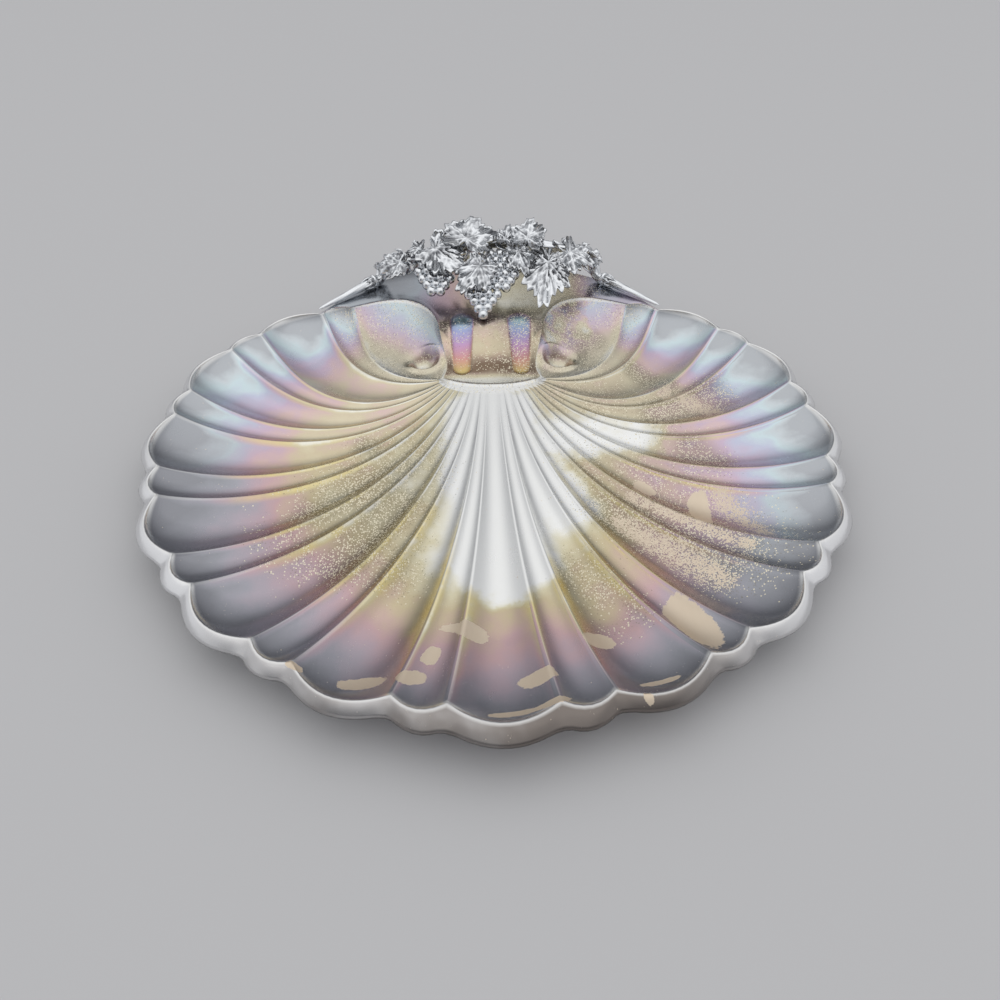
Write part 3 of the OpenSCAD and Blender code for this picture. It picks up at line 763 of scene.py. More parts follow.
# wear of the sheet; fields have two ends and a half width, a share at the middle and a soft edge
wear = {
    "tongue": {"share": 1, "soft": 0.9, "fields": [(0, 26, 0, -30, 33), (0, -30, 2, -92, 28)]},
    "hazy": {"share": 0.82, "soft": 1.2, "fields": [(10, 10, 84, 12, 21), (15, -10, 40, -55, 20)]},
    # film gone gold: by the right scroll and in the eyes of both
    "gilt": {"share": 0.5, "soft": 1.0, "fields": [(42, 120, 58, 148, 17), (60, 148, 66, 126, 12),
                                                   (48, 94, 48.1, 94, 8), (-48, 94, -48.1, 94, 8)]},
    "flecked": {"share": 0.5, "soft": 1.2, "fields": [(-95, -70, -50, -15, 34), (-60, -92, -75, -80, 22),
                                                      (75, 45, 90, -20, 40), (75, -45, 130, -85, 32),
                                                      (45, -100, 60, -130, 14)]},
    "dense": {"share": 1, "soft": 1.3, "fields": [(-57, -19, -102, -54, 15), (-56, -45, -82, -92, 16),
                                                  (58, -53, 116, -104, 13), (82, -53, 131, -85, 13),
                                                  (107, 35, 148, 52, 14), (100, 82, 120, 60, 9),
                                                  (42, 120, 58, 148, 14), (58, 118, 74, 116, 12),
                                                  (-76, 0, -80, 4, 8), (122, -3, 134, -14, 12)]},
    "speckled": {"share": 0.83, "soft": 1.6, "fields": [(131, -48, 140, -62, 9), (138, -62, 148, -78, 6),
                                                        (67, -63, 89, -83, 6), (89, -83, 116, -108, 9),
                                                        (78, -47, 136, -89, 4), (119, 54, 147, 34, 8)]},
    # worn patches: x, y, half length, half width, turn
    "bare": [(117, -57, 17, 7, 84), (93, -142, 22, 10, -65), (88, -37, 8, 5, -50), (-93, -168, 5, 2, -28),
             (63, -188, 3, 3, 0), (47, -148, 9, 6, 10), (16, -171, 10, 5, 12), (-41, -171, 8, 4.5, 20),
             (-14, -141, 10, 6, -8), (-24, -138, 7, 2.5, 0), (-33, -156, 7, 4.5, 60), (-64, -172, 12, 4.5, 6),
             (4, -191, 13, 2, 5), (22, -188, 9, 2.2, 16), (71, -176, 11, 1.8, 12)],
    "bareReach": 1.5,
    # flecks on the right of the ear, on the scrolls and on the column: from where, how soft, how many
    "earFlecks": ((5, 40), (62, 30)), "scrollFlecks": (0.75, 0.05, 0.4), "columnFlecks": (-5, 20, 0.25, 0.7),
    "cleanedFlecks": 0.9,
    # painted shade along the upper wall of an eye
    "eyeShadeR": 7.6, "eyeShadeW": 1.8, "eyeShadeFrom": 2.5, "eyeShadeSoft": 4,
    # where the column passes into the ear, and how the finish reads the back of the platter
    "earStart": 0.8, "earSoft": 0.5, "fluteClear": 1.3, "columnSide": 0.06, "columnRows": 6, "earBlend": 0.04,
    "earAlong": 0.5, "backTurn": 0.9, "skirtBlend": 2, "underFilm": 0.3}


def fieldShare(kind, x, y):
    best = 0
    for ax, ay, bx, by, half in wear[kind]["fields"]:
        a, run = Vector((ax, ay)), Vector((bx - ax, by - ay))
        t = min(1, max(0, (Vector((x, y)) - a).dot(run) / run.length_squared))
        off = (Vector((x, y)) - a - run * t).length / half - 1
        best = max(best, 1 - step01(off / wear[kind]["soft"] + 0.5))
    return wear[kind]["share"] * best


def bareness(x, y):
    best = 0
    for px, py, length, width, turn in wear["bare"]:
        dx, dy = x - px, y - py
        a = (dx * dcos(turn) + dy * dsin(turn)) / length
        b = (dy * dcos(turn) - dx * dsin(turn)) / width
        best = max(best, wear["bareReach"] - (abs(a) ** 3 + abs(b) ** 3) ** (1 / 3))
    return best


# painted shade on the wall of an eye, only on its upper side
def eyeShadeShare(x, y):
    e = Vector((abs(x), y)) - eyeCentre
    wall = bell(e.length, wear["eyeShadeR"], wear["eyeShadeW"])
    return wall * step01((e.y - wear["eyeShadeFrom"]) / wear["eyeShadeSoft"])


# height on the column, distance from its flutes, and how far a point has passed to the ear
def columnPlace(vert):
    x, y = vert.co.x / mm, vert.co.y / mm - shiftY
    high, off = (y - hingeY) / (columnTopY - hingeY), fluteOff(x, y)
    passed = step01((high - wear["earStart"]) / wear["earSoft"]) * (1 - step01(wear["fluteClear"] - off))
    return high, off, passed


def addBowl(bm, layer):
    bowl = ruledSheet(bm, columnLast, rows - 1, lambda i, j: shift(flutePoint(*columns[i], rowShare(j + 1))))
    for j, row in enumerate(bowl):
        for (flute, v), vert in zip(columns, row):
            angle = mix(rimAngle(flute), rimAngle(flute + 1), (v + 1) / 2)
            vert[layer.flow] = (rowShare(j + 1), v, angle / 180)
    return bowl


def addColumn(bm, layer):
    column = ruledSheet(bm, hingeLast, rows, columnPoint)
    for j, row in enumerate(column):
        for i, vert in enumerate(row):
            t = i / hingeLast
            high, off, onEar = columnPlace(vert)
            onColumn = step01(min(t, 1 - t) / wear["columnSide"]) * step01(j / wear["columnRows"])
            vert[layer.flow] = (high, off, wear["backTurn"])
            vert[layer.zone] = (onColumn * (1 - onEar), onColumn * onEar, 0)
    return column


# the flat ear, from the line over the scrolls and the column to its back edge
def addEar(bm, layer, inner):
    def earPoint(q, j):
        w = dish["earShares"][j]
        a, edge = inner[q], earEdge(q)
        if w == 0 or q in (0, earLast):
            return a
        if w == 1:
            return edge
        p = a.lerp(edge, w)
        beside = besideColumn(q)
        step = a.z - columnZ(a.y - shiftY) + columnDip(a.x, a.y - shiftY) * (1 - beside)
        z = columnZ(p.y - shiftY) + step * max(0, 1 - w / dish["earLevel"])
        z -= columnDip(p.x, p.y - shiftY) * (1 - beside)
        groove = bell(w * (edge - a).length, dish["grooveAt"], dish["grooveW"])
        groove *= step01(w / dish["grooveStart"])
        return Vector((p.x, p.y, z - dish["groove"] * beside * groove))

    ear = ruledSheet(bm, earLast, len(dish["earShares"]) - 1, earPoint)
    for share, row in zip(dish["earShares"], ear):
        for q, vert in enumerate(row):
            high, off, passed = columnPlace(vert)
            beside = besideColumn(q)
            onEar = mix(passed, step01(share / wear["earBlend"]), beside)
            vert[layer.flow] = (mix(high, wear["earAlong"], beside), mix(off, 0, beside), wear["backTurn"])
            vert[layer.zone] = ((1 - onEar) * (1 - beside), onEar, 0)


# the skirt turned down all the way round
def addSkirt(bm, layer, crest):
    hemLine = [(crest[c], rimLean(c)) for c in range(earFrom + 1, earTo)]
    hemLine = [(crest[earFrom], earLean(0))] + hemLine + [(crest[earTo], earLean(earLast))]
    hemLine += [(earEdge(q), earLean(q)) for q in range(earLast - 1, 0, -1)]

    def skirtPoint(i, j):
        p, lean = hemLine[i % len(hemLine)]
        t = j / dish["skirtRows"]
        return p + Vector((lean.x * t, lean.y * t, -dish["skirtDrop"] * t ** dish["skirtPower"]))

    for j, row in enumerate(ruledSheet(bm, len(hemLine), dish["skirtRows"], skirtPoint)):
        for i, vert in enumerate(row):
            if j == 0 and earTo - earFrom < i < len(hemLine):
                vert[layer.flow] = (wear["earAlong"], 0, wear["backTurn"])
                vert[layer.zone] = (0, 1, 0)
            else:
                vert[layer.flow] = (1, 0, math.atan2(vert.co.x, -vert.co.y) / math.pi)
                vert[layer.zone] = (0, 0, min(1, j / wear["skirtBlend"]))


def markWear(bm, layer):
    (earStart, earSoft), (earStop, earStopSoft) = wear["earFlecks"]
    scrollFrom, scrollSoft, scrollShare = wear["scrollFlecks"]
    panelFrom, panelSoft, leftShare, rightShare = wear["columnFlecks"]
    for vert in bm.verts:
        x, y = vert.co.x / mm, vert.co.y / mm
        column, ear, skirt = vert[layer.zone]
        onEar = ear * step01((x - earStart) / earSoft) * (1 - step01((x - earStop) / earStopSoft))
        onScroll = scrollShare * step01((abs(vert[layer.flow].z) - scrollFrom) / scrollSoft)
        onScroll *= (1 - ear) * (1 - column)
        onColumn = column * mix(leftShare, rightShare, step01((x - panelFrom) / panelSoft))
        inFields = max(fieldShare("flecked", x, y), fieldShare("dense", x, y))
        flecks = max(inFields, onScroll, onEar, onColumn) * (1 - skirt)
        clean = max(fieldShare(kind, x, y) for kind in ("tongue", "hazy", "gilt")) * (1 - max(column, ear))
        flecks *= 1 - wear["cleanedFlecks"] * step01(2 * clean - 1)
        vert[layer.worn] = (bareness(x, y), flecks, clean)
        vert[layer.speckle] = fieldShare("speckled", x, y)
        vert[layer.grime] = eyeShadeShare(x, y - shiftY)


def makeShell():
    bm = bmesh.new()
    layer = SimpleNamespace()
    vectors, numbers = bm.verts.layers.float_vector, bm.verts.layers.float
    layer.flow, layer.zone, layer.worn = (vectors.new(name) for name in ("flow", "zone", "worn"))
    layer.speckle, layer.grime = (numbers.new(name) for name in ("speckle", "grime"))
    bowl, column = addBowl(bm, layer), addColumn(bm, layer)
    bmesh.ops.bridge_loops(bm, edges=rowEdges(column[0]) + rowEdges(bowl[0]))
    crest, top = ([vert.co / mm for vert in sheet[-1]] for sheet in (bowl, column))
    addEar(bm, layer, crest[earFrom:0:-1] + top + crest[columnLast - 1:earTo - 1:-1])
    addSkirt(bm, layer, crest)
    merge(bm, bm.verts, weld["sheet"])
    bmesh.ops.dissolve_degenerate(bm, edges=bm.edges, dist=weld["sliver"] * mm)
    bmesh.ops.recalc_face_normals(bm, faces=bm.faces)
    if sum(f.normal.z for f in bm.faces) < 0:
        bmesh.ops.reverse_faces(bm, faces=bm.faces)
    markWear(bm, layer)
    for vert in addBack(bm, Vector((0, 0, -dish["sheet"]))):
        vert[layer.worn] = (0, 0, wear["underFilm"])
        vert[layer.speckle] = vert[layer.grime] = 0
    print("shell", len(bm.faces), "faces,", sum(e.is_boundary for e in bm.edges), "open edges")
    finishPiece(bm, "flutedShell", "shell", tarnishedSheet)


makeShell()

# three turned feet under the flutes
feet = {"padR": 8.5, "footR": 4.5, "bunH": 4.4, "gap": 0.2, "share": 0.6, "sides": 48,
        "under": {"foot_front": 14, "foot_left": 2, "foot_right": 26}}


# a small flat, a round bun, a neck and a pad flaring out to the sheet
def footProfile(top):
    bunH, r, padR = feet["bunH"], feet["footR"], feet["padR"]
    profile = [(0, 0), (r - 0.4, 0), (r, 0.12)]
    profile += [(r + bunH / 2 * dsin(a), bunH / 2 - bunH / 2 * dcos(a) + 0.1) for a in range(15, 166, 15)]
    profile += [(r + 0.4, bunH + 0.25), (r + 0.7, bunH + 0.5)]
    profile += [(mix(r + 0.8, padR, (k / 5) ** 1.6), mix(bunH + 0.7, top - 0.5, k / 5)) for k in range(6)]
    return profile + [(padR, top - 0.2), (padR - 0.3, top), (0, top)]


def makeFoot(node, flute):
    p = shift(flutePoint(flute, 0, feet["share"]))
    profile = footProfile(p.z - dish["sheet"] - feet["gap"] / 2)
    bm = bmesh.new()
    verts = [bm.verts.new(((p.x + x) * mm, p.y * mm, z * mm)) for x, z in profile]
    edges = [bm.edges.new(pair) for pair in zip(verts, verts[1:])]
    bmesh.ops.spin(bm, geom=verts + edges, cent=(p.x * mm, p.y * mm, 0), axis=(0, 0, 1),
                   angle=math.tau, steps=feet["sides"], use_merge=True)
    merge(bm, bm.verts, weld["casting"])
    bmesh.ops.recalc_face_normals(bm, faces=bm.faces)
    finishPiece(bm, pieceName(node), node, dullFootSilver)


for node, flute in feet["under"].items():
    makeFoot(node, flute)
print("feet made")

# shared lines of the vine
vine = {"angle": 26.5, "back": 89, "lift": 4, "boughD": 9, "stemD": 7.4, "tipD": 2.2, "tipOut": (2.5, 4),
        "collarD": 9.6, "collarX": 87, "collarIn": 5, "berryD": 7.4, "leafT": 1.4, "stalkD": 2.6, "gap": 0.2,
        "sink": 0.8}
collar = Vector((vine["collarX"], earEdgeY(vine["collarX"]) - vine["collarIn"]))
stemTip = earEnd + Vector(vine["tipOut"])
stemRun = (collar - stemTip).normalized()


# the leaning face that the vine is laid out on: across, up along it, and out of it
def onFace(x, d, h):
    a = vine["angle"]
    return Vector((x, rimR - vine["back"] + shiftY + d * dcos(a) - h * dsin(a),
                   rimH + vine["lift"] + d * dsin(a) + h * dcos(a)))


faceUp = (onFace(0, 0, 1) - onFace(0, 0, 0)).normalized()
faceDown = (onFace(0, -1, 0) - onFace(0, 0, 0)).normalized()


def hollowLayer(bm):
    layers = bm.verts.layers.float
    return layers.get("hollow") or layers.new("hollow")


# a closed tube along a line of points, its radius and its hollows given by two rules
def tube(bm, path, sides, radius, hollow, facing=None):
    layer = hollowLayer(bm)
    count = len(path) - 1
    normal = facing
    rings = []
    for k, p in enumerate(path):
        way = (path[min(count, k + 1)] - path[max(0, k - 1)]).normalized()
        if normal is None:
            normal = way.orthogonal().normalized()
        normal = (normal - way * normal.dot(way)).normalized()
        rings.append((p, normal.copy(), way.cross(normal)))

    def spot(i, k):
        p, n, b = rings[k]
        a = 360 * i / sides
        return p + (n * dcos(a) + b * dsin(a)) * radius(k / count, a)

    rows = ruledSheet(bm, sides, count, spot)
    for k, row in enumerate(rows):
        for i, vert in enumerate(row):
            vert[layer] = hollow(k / count, 360 * i / sides)
    made = [vert for row in rows for vert in row]
    merge(bm, made, weld["tube"])
    left = {vert for vert in made if vert.is_valid}
    ends = [e for e in bm.edges if e.is_boundary and left.issuperset(e.verts)]
    bmesh.ops.holes_fill(bm, edges=ends, sides=0)


scaleLeaf = {"sides": 16, "tipFrom": 0.12, "least": 0.05, "round": 0.8, "waves": 0.14, "waveRun": 900,
             "rootThick": 1.1, "thinning": 0.5, "shade": 0.15, "edgeShade": 0.75, "rootShade": 0.3}


# a thick cast scale leaf along a line of points, its broad side across the given way
def addScale(bm, path, half, thick, across):
    def radius(u, a):
        bow = dsin(180 * min(1, u + scaleLeaf["tipFrom"]) ** scaleLeaf["round"])
        wide = half * max(scaleLeaf["least"], bow) ** scaleLeaf["round"]
        wide *= 1 + scaleLeaf["waves"] * dcos(scaleLeaf["waveRun"] * u)
        deep = thick * (scaleLeaf["rootThick"] - scaleLeaf["thinning"] * u)
        return 1 / math.hypot(dcos(a) / wide, dsin(a) / deep)

    def hollow(u, a):
        edge, root = scaleLeaf["edgeShade"] * abs(dsin(a)) ** 6, scaleLeaf["rootShade"] * (1 - u) ** 3
        return min(1, scaleLeaf["shade"] + edge + root)

    tube(bm, path, scaleLeaf["sides"], radius, hollow, facing=across)


# tapered stems on the back edge of the ear, each with a collar and a calyx of short barbs
stems = {"sides": {"stem_left": -1, "stem_right": 1}, "steps": 110, "crowding": 1.5, "round": 28,
         "tipLength": 3, "tipLeast": 0.02, "seat": 0.3, "twist": 0.035, "strands": 6, "winding": 900,
         # rings: distance from the end, half width, radius as a share of the collar's diameter
         "rings": [(1.5, 1.5, 0.5), (5.2, 1.1, 0.43)],
         "grooves": [(3.5, 0.8), (7, 0.9)], "grooveShade": 0.75, "shade": 0.15,
         "barbs": 7, "barbTurn": 20, "barbStart": 2, "barbLengths": (8, 11), "barbSeat": 0.44,
         "barbRise": 0.9, "barbBow": 26, "barbHalf": 1.7, "barbThick": 0.7}


def addBarbs(bm, q, run):
    first = run.cross(Vector((0, 0, 1))).normalized()
    for k in range(stems["barbs"]):
        turn = 360 * k / stems["barbs"] + stems["barbTurn"]
        out = first * dcos(turn) + first.cross(run) * dsin(turn)
        reach = stems["barbLengths"][k % 2]
        seat = vine["stemD"] * stems["barbSeat"]
        barb = [q + run * (stems["barbStart"] + reach * u / 8)
                + out * (seat + stems["barbRise"] * dsin(stems["barbBow"] * u)) for u in range(9)]
        addScale(bm, barb, stems["barbHalf"], stems["barbThick"], run.cross(out))


def makeStem(node, side):
    lift = rimH + vine["gap"]
    p = Vector((side * stemTip.x, stemTip.y + shiftY, lift + vine["tipD"] / 2))
    q = Vector((side * collar.x, collar.y + shiftY, lift + vine["collarD"] / 2 + stems["seat"]))
    length = (q - p).length

    def share(u):
        return 1 - (1 - u) ** stems["crowding"]

    def radius(u, a):
        t = share(u)
        r = mix(vine["tipD"], vine["stemD"], t) / 2
        r *= min(1, math.sqrt(max(stems["tipLeast"], t * length / stems["tipLength"])))
        r *= 1 + stems["twist"] * dsin(stems["strands"] * a + stems["winding"] * t) * step01(t * 4)
        ringed = [mix(r, vine["collarD"] * full, math.sqrt(max(0, 1 - abs((1 - t) * length - place) / half)))
                  for place, half, full in stems["rings"]]
        return max(r, *ringed)

    def hollow(u, a):
        left = (1 - share(u)) * length
        grooves = sum(bell(left, place, width) for place, width in stems["grooves"])
        return stems["shade"] + stems["grooveShade"] * grooves

    bm = bmesh.new()
    path = [p.lerp(q, share(k / stems["steps"])) for k in range(stems["steps"] + 1)]
    tube(bm, path, stems["round"], radius, hollow)
    addBarbs(bm, q, (p - q).normalized())
    bmesh.ops.recalc_face_normals(bm, faces=bm.faces)
    finishPiece(bm, pieceName(node), node, oxideAndShadeCasting)


for node, side in stems["sides"].items():
    makeStem(node, side)

# the gnarled bough from collar to collar
bough = {"right": [(81, -22, 11), (78, -25, 19), (71, -27, 26), (51, -26, 28), (26, -23, 30), (0, -21, 31)],
         "left": [(82, -22, 9.5), (78, -25, 15.5), (70, -27, 20), (51, -26, 22.5), (26, -23, 28)],
         "footShare": 0.445, "footIn": 0.6, "footRun": 4, "footRise": 0.6,
         "endShare": 0.84, "endRun": 2, "wave": 0.05, "waveRun": 230, "steps": 320, "sides": 40,
         # bark: coarse and fine noise and wound strands
         "barkW": 1.3, "barkRun": 15, "coarse": 0.6, "fine": 0.35, "fineScale": 2.3,
         "strand": 0.35, "strands": 5, "winding": 500,
         "core": 0.94, "barkDepth": 0.2, "barkStart": 1.2, "shade": 0.35, "barkShade": 0.75,
         # buds and folded leaves: place along the bough, turn from its top, length
         "buds": [
             (2.2, -120, 6), (2.6, -60, 5), (3.0, -150, 7), (3.2, -20, 5), (3.5, -170, 12), (3.7, -70, 8),
             (3.9, -155, 14), (4.1, -20, 6), (4.25, -170, 13), (4.4, -95, 9), (4.55, -35, 6), (4.8, 15, 6),
             (4.9, -75, 8), (5.1, -40, 6), (5.3, -110, 9), (5.5, -15, 5), (6.0, -70, 8), (6.35, -160, 11),
             (6.55, -140, 11), (6.7, -170, 12), (6.75, -100, 9), (6.9, 0, 6), (6.95, -150, 11),
             (7.15, -170, 10), (7.3, -150, 10), (7.6, -165, 14), (7.75, -135, 14), (7.95, -165, 12),
             (8.1, -100, 9), (8.4, -50, 8), (8.8, -130, 10), (9.0, 10, 6), (9.2, -165, 12), (9.4, -100, 9),
             (9.5, -160, 13), (9.7, 20, 6), (9.9, -170, 12), (10.1, -50, 8), (10.3, -150, 12),
             (10.6, -10, 5), (10.8, -110, 8), (11.2, -60, 6), (11.5, -150, 7), (11.9, -30, 5)],
         "budSeed": 5, "budLean": (0.4, 0.8), "budHalf": (2.6, 3.8), "budThick": 0.95, "budBow": 0.35,
         "budFacing": (0.75, 0.66),
         # knots: place, turn, height
         "knots": [(1.6, 30, 1.0), (3.1, 200, 1.1), (4.4, 120, 0.9), (5.6, 300, 0.8), (8.6, 40, 0.9),
                   (9.8, 220, 1.0), (11.3, 90, 1.1), (12.4, 310, 1.0)],
         "knotRun": 0.16, "knotTurn": 38}
footLift = vine["boughD"] * bough["footShare"] + vine["gap"]
foot = collar + stemRun * bough["footIn"]
onward = foot + stemRun * bough["footRun"]
boughRise = [(foot.x, foot.y - rimR, footLift), (onward.x, onward.y - rimR, footLift + bough["footRise"])]
boughPath = boughRise + bough["right"] + [(-x, y, z) for x, y, z in reversed(boughRise + bough["left"])]
boughLast = len(boughPath) - 1


def boughKnot(i):
    x, y, z = boughPath[i]
    return Vector((x, rimR + y + shiftY, rimH + z))


def boughAt(t):
    i = min(boughLast - 1, int(t))
    u = t - i
    a, b, c, d = (boughKnot(min(boughLast, max(0, i + k))) for k in (-1, 0, 1, 2))
    start = 2 * b + (c - a) * u + (2 * a - 5 * b + 4 * c - d) * u * u
    return 0.5 * (start + (3 * b - a - 3 * c + d) * u ** 3)


def boughR(t):
    ends = mix(bough["endShare"], 1, step01(min(t, boughLast - t) / bough["endRun"]))
    return vine["boughD"] / 2 * ends * (1 + bough["wave"] * dsin(bough["waveRun"] * t))


def bark(t, a):
    p = Vector((dcos(a) * bough["barkW"], dsin(a) * bough["barkW"], t * bough["barkRun"]))
    strands = bough["strand"] * dsin(bough["strands"] * a + bough["winding"] * t)
    return noise.noise(p) * bough["coarse"] + noise.noise(p * bough["fineScale"]) * bough["fine"] + strands


def boughSkin(t, a):
    u = t * boughLast
    deep = bough["barkDepth"] * step01(min(u, boughLast - u) / bough["barkStart"])
    r = boughR(u) * (bough["core"] + deep * bark(t, a))
    for place, way, size in bough["knots"]:
        aside = (a - way + 180) % 360 - 180
        r += size * bell(u, place, bough["knotRun"]) * bell(aside, 0, bough["knotTurn"])
    return r


def boughHollow(t, a):
    return min(1, max(0, bough["shade"] - bough["barkShade"] * bark(t, a)))


def addBuds(bm):
    draw = random.Random(bough["budSeed"])
    broad, turnedIn = bough["budFacing"]
    for place, turn, length in bough["buds"]:
        way = (boughAt(place + 0.05) - boughAt(place - 0.05)).normalized()
        top = (Vector((0, 0, 1)) - way * way.z).normalized()
        out = top * dcos(turn) + way.cross(top) * dsin(turn)
        lean = draw.choice((-1, 1)) * length * draw.uniform(*bough["budLean"])
        seat = boughAt(place) + out * (boughR(place) - vine["sink"])
        path = [seat + out * (length * (u - bough["budBow"] * u * u)) + way * (lean * u * u)
                for u in (k / 8 for k in range(9))]
        facing = way.cross(out) * broad + way * turnedIn
        addScale(bm, path, draw.uniform(*bough["budHalf"]), bough["budThick"], facing)


def makeBough():
    bm = bmesh.new()
    path = [boughAt(boughLast * k / bough["steps"]) for k in range(bough["steps"] + 1)]
    tube(bm, path, bough["sides"], boughSkin, boughHollow)
    addBuds(bm)
    bmesh.ops.recalc_face_normals(bm, faces=bm.faces)
    finishPiece(bm, "vineBough", "bough", oxideAndShadeCasting)


makeBough()
print("stems and bough made")

stalk = {"steps": 10, "sides": 14, "bow": 0.9, "root": 1.35, "taper": 0.5, "taperRun": 2.5, "twist": 0.1,
         "strands": 3, "winding": 200, "rootShade": 0.75, "paling": 0.5}


# the stalk of a leaf or a bunch, ending in the bough
def addStalk(bm, p, t):
    axis = boughAt(t)
    seat = axis + (p - axis).normalized() * (boughR(t) - vine["sink"])
    shares = [k / stalk["steps"] for k in range(stalk["steps"] + 1)]
    path = [seat.lerp(p, u) + faceUp * (stalk["bow"] * dsin(180 * u)) for u in shares]

    def radius(u, a):
        twist = stalk["twist"] * dsin(stalk["strands"] * a + stalk["winding"] * u)
        return vine["stalkD"] / 2 * (stalk["root"] - stalk["taper"] * step01(u * stalk["taperRun"]) + twist)

    tube(bm, path, stalk["sides"], radius, lambda u, a: stalk["rootShade"] - stalk["paling"] * u)


# bunches of grapes: rows of berries from the lowest up, as a count and a middle
bunches = {
    "grapes_centre": {"first": 8, "sink": 7, "dome": 3, "half": 24, "seed": 3,
                      "stalk": (8.3, 58.5, -5), "seat": 6.68,
                      "rows": [(1, -5), (2, -5), (3, -5), (4, -5), (5, -1.7), (6, -1.7), (6, 1.6), (6, 5),
                               (4, 8.3), (3, 8.3)]},
    "grapes_left": {"first": 29, "sink": 8, "dome": 3, "half": 18, "seed": 8,
                    "stalk": (-42.3, 54, -6), "seat": 8.66,
                    "rows": [(2, -39), (3, -39), (4, -39), (4, -42.3), (3, -42.3), (2, -42.3)]}}
berry = {"detail": 4, "pitch": 0.9, "rowPitch": 0.87, "jog": 0.35, "sizes": (0.96, 1.02),
         "tipUp": 0.75, "tipOut": 0.7,
         "dimple": 0.07, "dimpleW": 0.018, "rim": 0.02, "rimAt": 0.9, "rimW": 0.05,
         "shade": 0.85, "shadeFrom": -0.35, "shadeSoft": 0.9, "tipShadeW": 0.02}


def addBerry(bm, centre, size, tipWay):
    layer = hollowLayer(bm)
    for vert in bmesh.ops.create_icosphere(bm, subdivisions=berry["detail"], radius=size * mm)["verts"]:
        n = vert.co.normalized()
        near = n.dot(tipWay)
        rim = berry["rim"] * bell(near, berry["rimAt"], berry["rimW"])
        r = size * (1 - berry["dimple"] * bell(near, 1, berry["dimpleW"]) + rim)
        # painted shade: each berry is darker on its lower side, turned away from the light
        lit = step01((n.dot(faceUp) - berry["shadeFrom"]) / berry["shadeSoft"])
        vert[layer] = min(1, berry["shade"] * (1 - lit) + bell(near, 1, berry["tipShadeW"]))
        vert.co = (centre + n * r) * mm


def makeBunch(node, bunch):
    bm = bmesh.new()
    draw = random.Random(bunch["seed"])
    pitch = vine["berryD"] * berry["pitch"]
    for i, (count, middle) in enumerate(bunch["rows"]):
        for k in range(count):
            x = middle + (k - (count - 1) / 2) * pitch
            spread = (x - middle) / bunch["half"]
            spot = (x, bunch["first"] + i * pitch * berry["rowPitch"],
                    bunch["dome"] * (1 - spread ** 2) - bunch["sink"])
            centre = onFace(*(value + draw.uniform(-berry["jog"], berry["jog"]) for value in spot))
            tipWay = (faceDown + faceUp) * berry["tipUp"] + Vector((spread * berry["tipOut"], 0, 0))
            addBerry(bm, centre, vine["berryD"] / 2 * draw.uniform(*berry["sizes"]), tipWay.normalized())
    addStalk(bm, onFace(*bunch["stalk"]), bunch["seat"])
    bmesh.ops.recalc_face_normals(bm, faces=bm.faces)
    finishPiece(bm, pieceName(node), node, oxideAndShadeCasting)


for node, bunch in bunches.items():
    makeBunch(node, bunch)
print("grapes made")

# vine leaves: base on the face, heading, tilt, length and width, bend and droop, seat of the stalk
leaves = {"leaf_crown": ((-16.5, 66, 6.9), -16, -2, (27, 28), (-4, -5), 7.6),
          "leaf_left": ((-39.5, 60, 4), -128, -1, (30, 25), (-3, -4), 8.5),
          "leaf_centre": ((-7, 42, 7.6), 142, -3, (26, 20), (-3, -4), 7.15),
          "leaf_right": ((43.2, 48, 2.2), 172, -4, (36, 24), (-4, -4), 5.2),
          "leaf_peak": ((12.5, 69, 2.6), -8, 0, (17, 12), (-3, -3), 6.5),
          "leaf_crest": ((28, 62.5, 11.2), -8, 2, (22, 18), (-4, -4), 5.7),
          "leaf_fold": ((21.4, 55, 6.4), -160, -4, (18, 14), (-3, -4), 6.25),
          "leaf_shoulder": ((-51.5, 62.4, 1.6), 82, -4, (11, 10), (-3, -3), 9.1),
          "leaf_left_end": ((-66, 53, -3), 100, -6, (17, 15), (-3, -3), 9.75),
          "leaf_right_end": ((58.5, 50, 10.8), -112, -6, (20, 20), (-4, -3), 4.6)}
leafShape = {"spokes": 168, "rings": 26,
             # outline: lobes, notches between them, the heart at the stalk and the teeth
             "lobe": 57.5, "sideCut": 0.36, "notch": 0.11, "heart": 0.72, "heartFrom": 122,
             "tooth": 0.085, "teeth": 3.5,
             # relief: veins, side ribs, channels beside the veins, the beaded edge and its groove
             "vein": 0.34, "veinW": 0.95, "rib": 0.26, "ribGap": 5.2, "ribSlant": 0.95, "ribPower": 1.3,
             "ribFrom": 1.2, "channel": 0.35, "channelAt": 1.4, "channelW": 0.8,
             "bead": 0.45, "beadFrom": 0.86, "beadSoft": 0.08,
             "groove": 0.25, "grooveAt": 0.82, "grooveW": 0.05, "cup": 1.5, "cupFrom": 1.4, "cupCut": 0.6,
             # curls: height, growth to the edge, waves and phase; bulges: share and scale
             "curls": [(2.1, 3, 2, 3), (1.26, 4, 5, 7)], "bulge": 1.15, "bulges": [(1, 0.27), (0.45, 0.6)],
             "bulgeSeed": 0.37,
             "shade": {"bulge": -0.6, "rib": -0.12, "channel": 0.3, "valley": 0.2, "groove": 0.2,
                       "bead": -0.2, "root": 0.2},
             "plainShade": 0.36, "rootShadeTo": 2.5, "backShade": 0.85}


def lobeReach(a):
    return 1 - leafShape["sideCut"] * abs(a) / (2 * leafShape["lobe"])


def leafReach(a):
    e, lobe, heartFrom = abs(a), leafShape["lobe"], leafShape["heartFrom"]
    reach = lobeReach(a) * (1 - leafShape["notch"] * (1 - dcos(360 * e / lobe)))
    reach *= 1 - leafShape["heart"] * step01((e - heartFrom) / (180 - heartFrom))
    saw = (e / lobe * leafShape["teeth"] + 0.5) % 1
    return reach * (1 + leafShape["tooth"] * (abs(2 * saw - 1) * 2 - 1))


